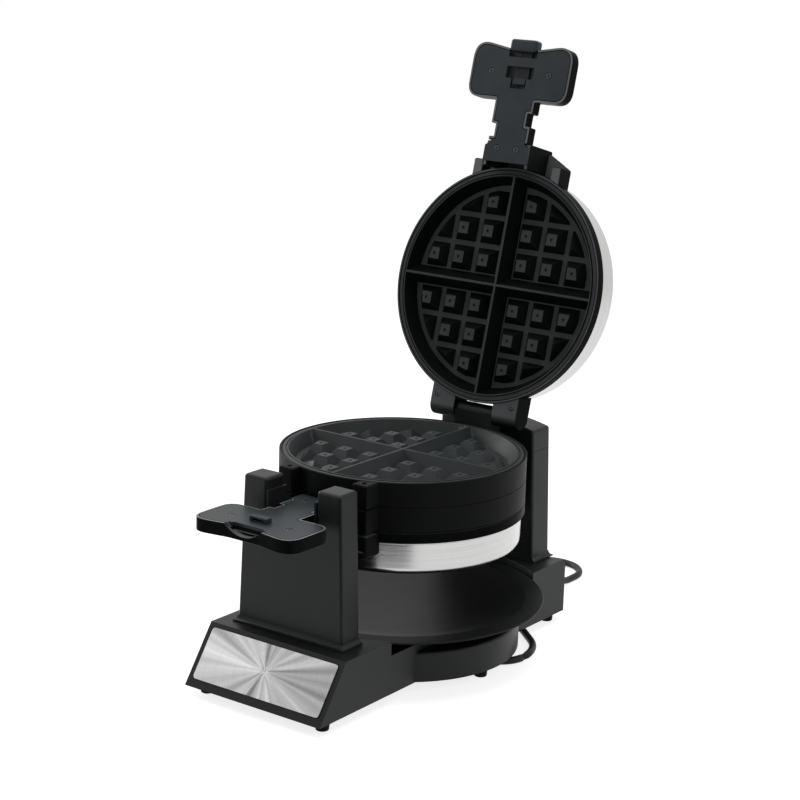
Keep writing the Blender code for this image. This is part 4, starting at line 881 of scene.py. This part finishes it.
def addLidRing():
    radius, edge, level = ring["radius"], ring["edge"], ring["lidRim"]
    deep = level + waffle["flangeDrop"] + waffle["flangeThick"] + gap
    lidRing = addTurned([(radius - 0.0005, ring["bezelTop"])]
                        + arc((radius - 0.0005, ring["bezelTop"] - 0.0005), 0.0005, math.pi / 2, 0, 3)
                        + arc((radius - edge, level + edge), edge, 0, -math.pi / 2, 6)
                        + [(ring["inner"] + 0.0004, level), (ring["inner"], level + 0.0004), (ring["inner"], deep),
                           (ring["bezelInner"], deep), (ring["bezelInner"], ring["bezelTop"])], 160)
    return fuse(lidRing, addEar(-1), addEar(1))


def addLidShell():
    center = (cover["side"] - cover["corner"], cover["top"] - cover["corner"])
    outer = [(0, cover["top"])] + arc(center, cover["corner"], math.pi / 2, 0, 16)
    outer += [(cover["rim"] - 0.0006, cover["low"] + 0.0014)]
    outer += arc((cover["rim"] - 0.0006, cover["low"] + 0.0007), 0.0007, math.pi / 2, -math.pi / 2, 8)
    inner = [(cover["rim"] - cover["thick"], cover["low"])]
    inner += arc(center, cover["corner"] - cover["thick"], 0, math.pi / 2, 8)
    return addTurned(outer + inner + [(0, cover["top"] - cover["thick"])], 192)


def addBracket():
    top, look = ring["lidRim"] + bracket["rise"], bracket
    riser = addBlock((-look["riserHalf"], look["riserHalf"]), (look["riserFront"], cornerBlock["back"]),
                     (look["low"], top))
    roundEdges(riser, look["round"], 3)
    end, front, back = look["outer"] - 0.0006, cornerBlock["front"], cornerBlock["back"] + 0.0006
    web = addOutline([(-end, front), (-look["webHalf"], look["webFront"]), (look["webHalf"], look["webFront"]),
                      (end, front), (end, back), (-end, back)], top - look["web"], top)
    fuse(riser, roundEdges(web, look["round"], 3))
    for side in (-1, 1):
        block = addBlock((side * look["blockInner"], side * look["outer"]), (front, cornerBlock["back"]),
                         (ring["lidRim"] + look["blockRise"], top - 0.0006))
        fuse(riser, roundEdges(block, cornerBlock["round"], 3))
    inside = look["riserHalf"] - look["wall"]
    cavity = addBlock((-inside, inside), (look["riserFront"] + look["wall"], cornerBlock["back"]),
                      (look["low"] - over, top - look["wall"]))
    return cut(riser, cavity, sideCutter(gap))


for build, finish, slotNodes, names in (
        (addLidRing, "bezelBlack", "lid_ring", "LidRing"), (addLidShell, "lidSteel", "lid_shell", "LidShell"),
        (addBracket, "paintedLitLidPlastic", "lid_bracket", "LidBracket")):
    first = build()
    second = twinOf(first)
    settle(first, "upper" + names, "upper", "upper_lid", finish, ["upper_" + slotNodes])
    settle(second, "lower" + names, "lower", "lower_lid", finish, ["lower_" + slotNodes])
print("lids ready")


# --- handles -------------------------------------------------------------------------------------------------

handle = {"thick": 0.0114, "wall": 0.0018, "roof": 0.0020, "round": 0.0026, "cover": 0.0026, "lobeHalf": 0.0518,
          "lobeFront": -0.2151, "lobeBack": -0.1630, "frontRound": 0.0150, "backRound": 0.0130,
          "scoopHalf": 0.0150, "scoopY": -0.2088, "scoopRound": 0.0060, "neckHalf": 0.0202, "notchHalf": 0.0153,
          "notchFar": -0.1525, "notchMid": -0.1408, "notchNear": -0.1295, "leftNotch": -0.1413, "neckEnd": -0.1263,
          "flareY": -0.1225, "flareHalf": 0.0254, "coverEnd": -0.1075, "screwX": 0.0300, "screwY": -0.1871,
          "neckScrewX": 0.0100, "neckScrewY": -0.1195, "boss": 0.0042, "padHalf": 0.0146, "padY": -0.2012,
          "padHeight": 0.0086, "slotHalf": 0.0143, "slotFront": -0.1929, "slotBack": -0.1823, "stemHalf": 0.0079,
          "stemBack": -0.1732, "softNeck": 0.0012}
seam, roofLevel = ring["seam"], ring["seam"] - 0.00015 + handle["thick"]
screwPlaces = [(side * x, y) for x, y in ((handle["screwX"], handle["screwY"]),
                                          (handle["neckScrewX"], handle["neckScrewY"])) for side in (-1, 1)]


def handleCorners(endY, flared):
    look, soft = handle, handle["softNeck"]
    right = [((look["scoopHalf"], look["scoopY"]), look["scoopRound"]),
             ((look["lobeHalf"], look["lobeFront"]), look["frontRound"]),
             ((look["lobeHalf"], look["lobeBack"]), look["backRound"]), ((look["neckHalf"], look["lobeBack"]), soft)]
    rightNotch = [((look["neckHalf"], look["notchFar"]), soft), ((look["notchHalf"], look["notchFar"]), soft),
                  ((look["notchHalf"], look["notchMid"]), soft), ((look["neckHalf"], look["notchMid"]), soft)]
    leftNotch = [((-look["neckHalf"], look["notchNear"]), soft), ((-look["notchHalf"], look["notchNear"]), soft),
                 ((-look["notchHalf"], look["leftNotch"]), soft), ((-look["neckHalf"], look["leftNotch"]), soft)]
    end = [((look["neckHalf"], endY), 0)]
    if flared:
        end = [((look["neckHalf"], look["neckEnd"]), 0), ((look["flareHalf"], look["flareY"]), 0),
               ((look["flareHalf"], endY), 0)]
    leftEnd = [((-x, y), radius) for (x, y), radius in reversed(end)]
    left = [((-x, y), radius) for (x, y), radius in reversed(right)]
    return right + rightNotch + end + leftEnd + leftNotch + left


def padNotch(height):
    return addBlock((-handle["padHalf"], handle["padHalf"]), (handle["lobeFront"] * 2, handle["padY"]),
                    (0, seam + height))


def fingerScoop():
    pocket = roundEdges(addBlock((-0.0155, 0.0155), (handle["scoopY"] + handle["wall"] + 0.0006, handle["padY"]),
                                 (0, seam + 0.0060)), 0.0012, 3)
    center = seam + 0.0080 - 0.0270
    smile = addRod(0.0270, (0, handle["lobeFront"] * 2, center), (0, handle["padY"] - handle["wall"], center), 160)
    return pocket, smile


def addHandleShell(withLatch):
    look = handle
    shell = addOutline(roundedInset(handleCorners(look["neckEnd"] + over, False), 0), seam - over, roofLevel)
    roundEdges(shell, look["round"], 5, 60)
    hollowEnd = look["neckEnd"] + over * 2 + look["wall"]
    hollow = addOutline(roundedInset(handleCorners(hollowEnd, False), look["wall"]), seam - over * 2,
                        roofLevel - look["roof"])
    cut(shell, hollow)
    low = seam + look["cover"] + gap
    for x in (-look["screwX"], look["screwX"]):
        fuse(shell, addRod(look["boss"], (x, look["screwY"], low), (x, look["screwY"], roofLevel - 0.0006), 32))
    if withLatch:
        cut(shell, padNotch(look["padHeight"]))
    else:
        fuse(shell, addBlock((-0.0200, 0.0200), (look["scoopY"] + 0.0006, look["padY"] + look["wall"]),
                             (low, roofLevel - 0.0006)))
        cut(shell, *fingerScoop())
    cut(shell, addBlock((-0.2, 0.2), (look["lobeFront"] * 2, 0), (0, seam)),
        addBlock((-0.2, 0.2), (look["neckEnd"], 0), (0, ring["rim"])))
    return roundEdges(shell, 0.0003, 2, 50)


def addHandleCover(withLatch):
    look = handle
    shrink = look["wall"] + gap * 2.4
    plate = addOutline(roundedInset(handleCorners(look["coverEnd"] + shrink, True), shrink), seam,
                       seam + look["cover"])
    if withLatch:
        cut(plate, addBlock((-look["slotHalf"], look["slotHalf"]), (look["slotFront"], look["slotBack"]), (0, ring["rim"])),
            addBlock((-look["stemHalf"], look["stemHalf"]), (look["slotFront"], look["stemBack"]), (0, ring["rim"])),
            padNotch(look["thick"]))
    else:
        cut(plate, *fingerScoop(), padNotch(look["thick"]))
    roundEdges(plate, 0.0004, 3, 50)
    for x, y in screwPlaces:
        cut(plate, addRod(screwHead["radius"] + gap, (x, y, seam - over), (x, y, seam + screwHead["height"] + gap), 40),
            addRod(screwHead["radius"] + 0.0009, (x, y, seam - 0.0003), (x, y, seam + 0.0003), 40,
                   screwHead["radius"] + 0.0002))
    if not withLatch:
        catch = roundEdges(addBlock((-0.0090, 0.0090), (-0.1912, -0.1842), (seam - 0.0045, seam + 0.0006)), 0.0009, 4)
        fuse(plate, catch)
        cut(plate, addBlock((-0.0060, 0.0060), (-0.1912 - over, -0.1842 + over), (seam - 0.0030, seam - 0.0012)))
    return plate


def addScrew(x, y, level):
    # sunk head with a cross recess
    head = addTurned([(0, level + screwHead["height"]), (screwHead["radius"], level + screwHead["height"])]
                     + arc((screwHead["radius"] - 0.0006, level + 0.0006), 0.0006, 0, -math.pi / 2, 4)
                     + [(0, level)], 32, Matrix.Translation((x, y, 0)))
    cut(head, addBlock((x - 0.0016, x + 0.0016), (y - 0.0004, y + 0.0004), (level - 0.001, level + 0.0008)))
    return cut(head, addBlock((x - 0.0004, x + 0.0004), (y - 0.0016, y + 0.0016), (level - 0.001, level + 0.0008)))


def addLatch():
    pad = addBlock((-0.0138, 0.0138), (-0.2170, -0.2062), (seam - 0.0030, seam + 0.0078))
    roundEdges(pad, 0.0026, 5)
    low, high = seam + 0.0053, seam + 0.0077
    stem = addBlock((-0.0060, 0.0060), (-0.2062 - 0.0024, -0.1777), (low, high))
    hook = addBlock((-0.0065, 0.0065), (-0.1812, -0.1777 + 0.0006), (seam + 0.0004, high + 0.0006))
    barb = addBlock((-0.0059, 0.0059), (-0.1828, -0.1806), (seam + 0.0010, seam + 0.0022))
    return fuse(pad, roundEdges(stem, 0.0004, 2), roundEdges(hook, 0.0004, 2), roundEdges(barb, 0.0002, 2))


settle(addHandleShell(True), "upperHandleShell", "upper", "upper_lid", "paintedLitHandleShell", ["upper_handle_shell"])
settle(addHandleCover(True), "upperHandleCover", "upper", "upper_lid", "handlePlastic", ["upper_handle_cover"])
settle(addHandleShell(False), "lowerHandleShell", "lower", "lower_lid", "paintedLitHandleShell", ["lower_handle_shell"])
settle(addHandleCover(False), "lowerHandleCover", "lower", "lower_lid", "handlePlastic", ["lower_handle_cover"])
settle(addLatch(), "upperLatch", "upper", "latch", "handlePlastic", ["upper_latch"])
earLevel = hinge["z"] - hinge["ear"]
for where in ("upper", "lower"):
    screws = joinPieces(*[addScrew(x, y, seam) for x, y in screwPlaces])
    settle(screws, where + "HandleScrews", where, where + "_lid", "screwSteel",
           [where + "_handle_screw_" + str(i) for i in (1, 2, 3, 4)])
    screws = joinPieces(*[addScrew(side * hinge["screwX"], hinge["screwY"], earLevel) for side in (-1, 1)])
    settle(screws, where + "HingeScrews", where, where + "_lid", "screwSteel",
           [where + "_hinge_screw_" + str(i) for i in (1, 2)])
print("handles ready")


# --- base, columns and tray ----------------------------------------------------------------------------------

base = {"half": 0.0707, "low": 0.0082, "frontLow": -0.1970, "frontTop": -0.1650, "frontBlock": 0.0545,
        "rearBlock": 0.0580, "rear": 0.1594, "deck": 0.0420, "wall": 0.0026, "round": 0.0028, "rearRound": 0.0080,
        "platform": 0.1030, "platformY": 0.0040, "platformTop": 0.0350, "platformRound": 0.0030, "pocket": 0.1266}
facePlate = {"half": 0.0657, "bottom": (-0.1928, 0.0143), "top": (-0.1673, 0.0511), "thick": 0.0010,
             "recess": 0.0006, "corner": 0.0035}
column = {"footHalf": 0.0548, "topHalf": 0.0500, "front": -0.1500, "back": -0.1270, "top": 0.1824, "yoke": 0.0260,
          "round": 0.0026, "wall": 0.0030, "flareHigh": 0.0052, "flareWide": 0.0030, "rearFront": 0.1270,
          "rearBack": 0.1548, "capSide": 0.1800, "capMiddle": 0.1860, "bush": 0.0140, "boreEnd": 0.1516,
          "bushFlange": 0.0165}


def baseForm(shrink):
    look = base
    side = [(look["frontLow"], look["low"]), (look["rear"], look["low"]), (look["rear"], look["rearBlock"]),
            (0, look["rearBlock"]), (0, look["frontBlock"]), (look["frontTop"], look["frontBlock"])]
    drawn, radii, floor = inset(side, shrink), [0, 0, look["rearRound"], 0, 0, 0], look["low"]
    if shrink:
        floor -= over
        drawn = drawn[:1] + [(drawn[0][0], floor), (drawn[1][0], floor)] + drawn[2:]
        radii = [0] + radii
    body = addOutline(softened(drawn, radii), -look["half"] + shrink, look["half"] - shrink, "YZ")
    cut(body, addRod(look["pocket"] + shrink, (0, 0, look["deck"] - shrink), (0, 0, look["rearBlock"] + over), 192))
    if not shrink:
        roundEdges(body, look["round"], 4, 50)
    top, radius = look["platformTop"] - shrink, look["platform"] - shrink
    bend = arc((radius - look["platformRound"], top - look["platformRound"]), look["platformRound"], math.pi / 2, 0, 6)
    platform = addTurned([(0, top)] + bend + [(radius, floor + gap), (0, floor + gap)], 160,
                         Matrix.Translation((0, look["platformY"], 0)))
    return fuse(body, platform)


def faceShape(margin, low, high, sides=10):
    bottom, top = Vector((0, *facePlate["bottom"])), Vector((0, *facePlate["top"]))
    slope = top - bottom
    long, wide = slope.length / 2 + margin, facePlate["half"] + margin
    corners = [(-wide, -long), (wide, -long), (wide, long), (-wide, long)]
    plate = addOutline(softened(corners, [facePlate["corner"]] * 4, sides), low, high)
    up = slope.normalized()
    outward = Vector((0, -up.z, up.y))
    turn = Matrix((up.cross(outward), up, outward)).transposed().to_4x4()
    return plate, Matrix.Translation((top + bottom) / 2) @ turn, outward


def addBase():
    probe, place, outward = faceShape(gap, 0, 0.001)
    bpy.data.objects.remove(probe, do_unlink=True)
    slope = Vector((0, base["frontTop"] - base["frontLow"], base["frontBlock"] - base["low"])).normalized()
    normal = Vector((0, -slope.z, slope.y))
    surface = (Vector((0, base["frontLow"], base["low"])) - Vector((0, *facePlate["bottom"]))).dot(normal)
    recess, place, outward = faceShape(gap * 2, surface - facePlate["recess"], surface + over)
    applyPlace(recess, place)
    housing = cut(baseForm(0), baseForm(base["wall"]), recess)
    floor = surface - facePlate["recess"] + gap
    plate, place, outward = faceShape(0, floor, floor + facePlate["thick"])
    roundEdges(plate, 0.00025, 3)
    drawn = plate.data.attributes.new("platePlace", "FLOAT_VECTOR", "POINT")
    for vertex, value in zip(plate.data.vertices, drawn.data):
        value.vector = vertex.co
    applyPlace(plate, place)
    settle(housing, "baseHousing", "base", "base", "blackPlastic", ["base_housing"])
    settle(plate, "facePlate", "base", "base", "faceSteel", ["face_plate"])


def addFlare(front, back, low, frontToo):
    # concave skirt where a column meets the base
    high, wide, half = column["flareHigh"], column["flareWide"], column["footHalf"]
    fixed = back if frontToo else front
    moving = (front - wide) if frontToo else (back + wide)
    skirt = addBlock((-half - wide, half + wide), (fixed, moving), (low, low + 0.0012))
    bpy.ops.object.mode_set(mode="EDIT")
    bpy.ops.mesh.select_mode(type="FACE")
    bpy.ops.mesh.select_all(action="DESELECT")
    bpy.ops.object.mode_set(mode="OBJECT")
    for face in skirt.data.polygons:
        face.select = face.normal.z > 0.9
    bpy.ops.object.mode_set(mode="EDIT")
    steps, last, level = 8, wide, 0.0
    rise = high - 0.0012
    for i in range(1, steps + 1):
        turn = math.pi / 2 * i / steps
        width, height = wide * (1 - math.sin(turn)), rise * (1 - math.cos(turn))
        bpy.ops.mesh.extrude_region_move(TRANSFORM_OT_translate={"value": (0, 0, height - level)})
        depth = abs(moving - fixed) - wide
        bpy.ops.transform.resize(value=((half + width) / (half + last), (depth + width) / (depth + last), 1),
                                 center_override=(0, fixed, 0))
        last, level = width, height
    bpy.ops.object.mode_set(mode="OBJECT")
    return skirt


def addFrontColumn():
    look, low = column, base["frontBlock"] + gap
    body = addOutline([(-look["footHalf"], low), (look["footHalf"], low), (look["topHalf"], look["top"]),
                       (-look["topHalf"], look["top"])], look["front"], look["back"], "XZ")
    ends = (look["front"] - over, look["back"] + over)
    cut(body, addRod(look["yoke"], (0, ends[0], axisHeight), (0, ends[1], axisHeight), 96),
        addBlock((-look["yoke"], look["yoke"]), ends, (axisHeight, look["top"] + over)))
    roundEdges(body, look["round"], 5, 45)
    fuse(body, addFlare(look["front"], look["back"], low, True))
    inner, roof = look["footHalf"] - look["wall"] * 2, axisHeight - look["yoke"] - look["wall"] * 2
    return cut(body, addBlock((-inner, inner), (look["front"] + look["wall"], look["back"] - look["wall"]),
                              (low - over, roof)))


def rearTower():
    look, low = column, base["rearBlock"] + gap
    rise = look["capMiddle"] - look["capSide"]
    radius = (look["topHalf"] ** 2 + rise ** 2) / (2 * rise)
    spread = math.asin(look["topHalf"] / radius)
    outline = [(-look["footHalf"], low), (look["footHalf"], low)]
    outline += arc((0, look["capMiddle"] - radius), radius, math.pi / 2 - spread, math.pi / 2 + spread, 48)
    tower = addOutline(outline, look["rearFront"], look["rearBack"], "XZ")
    roundEdges(tower, look["round"], 5, 45)
    return cut(tower, addRod(look["bush"] + gap, (0, look["rearFront"] - over, axisHeight),
                             (0, look["boreEnd"], axisHeight), 64))


def beyondSeam(side):
    ends = (column["rearFront"] - over, column["rearBack"] + over)
    return addBlock((-0.11, 0.11), ends, (axisHeight - side * gap / 2, 0.2 if side > 0 else 0))


def addRearColumn():
    look, low = column, base["rearBlock"] + gap
    inner, roof = look["footHalf"] - look["wall"] * 2, axisHeight - look["bushFlange"] - look["wall"] * 2
    body = fuse(rearTower(), addFlare(look["rearFront"], look["rearBack"], low, False))
    return cut(body, beyondSeam(1), addBlock((-inner, inner), (look["rearFront"] + look["wall"],
                                                              look["rearBack"] - look["wall"]), (low - over, roof)))


addBase()
settle(addFrontColumn(), "frontColumn", "base", "base", "blackPlastic", ["front_column"])
settle(addRearColumn(), "rearColumn", "base", "base", "blackPlastic", ["rear_column"])
settle(cut(rearTower(), beyondSeam(-1)), "rearCap", "base", "base", "blackPlastic", ["rear_cap"])
feet = [(x, y, name) for (x, y), end in (((0.0604, -0.1805), "front"), ((0.0915, -0.0050), "middle"),
                                         ((0.0604, 0.1470), "rear")) for x, name in ((-x, end + "_left"), (x, end + "_right"))]
for x, y, name in feet:
    foot = addTurned([(0, 0), (0.0050, 0), (0.0054, 0.0004), (0.0062, 0.0079), (0, 0.0079)], 48,
                     Matrix.Translation((x, y, 0)))
    front, side = name.split("_")
    settle(foot, front + side.capitalize() + "Foot", "base", "base", "footRubber", [name + "_foot"])

tray = {"radius": 0.1256, "rim": 0.0525, "rimWidth": 0.0160, "slope": 0.0120, "step": 0.0032, "drop": 0.0056,
        "thick": 0.0014, "edge": 0.0007}


def addTray():
    slopeRadius = tray["radius"] - tray["rimWidth"]
    floorRadius, level = slopeRadius - tray["slope"], tray["rim"] - tray["step"]
    dish = [(floorRadius * i / 16, level - tray["drop"] * (1 - (i / 16) ** 2)) for i in range(17)]
    edge = tray["edge"]
    rim = [(slopeRadius - 0.0006, tray["rim"] - 0.0002), (slopeRadius + 0.0003, tray["rim"])]
    rim += arc((tray["radius"] - edge, tray["rim"] - edge), edge, math.pi / 2, -math.pi / 2, 8)
    under = [(slopeRadius, tray["rim"] - tray["thick"])] + [(r, z - tray["thick"]) for r, z in reversed(dish)]
    return addTurned(dish + rim + under, 192)


settle(addTray(), "dripTray", "base", "tray", "trayCoating", ["drip_tray"], angle=24)
print("base and tray ready")
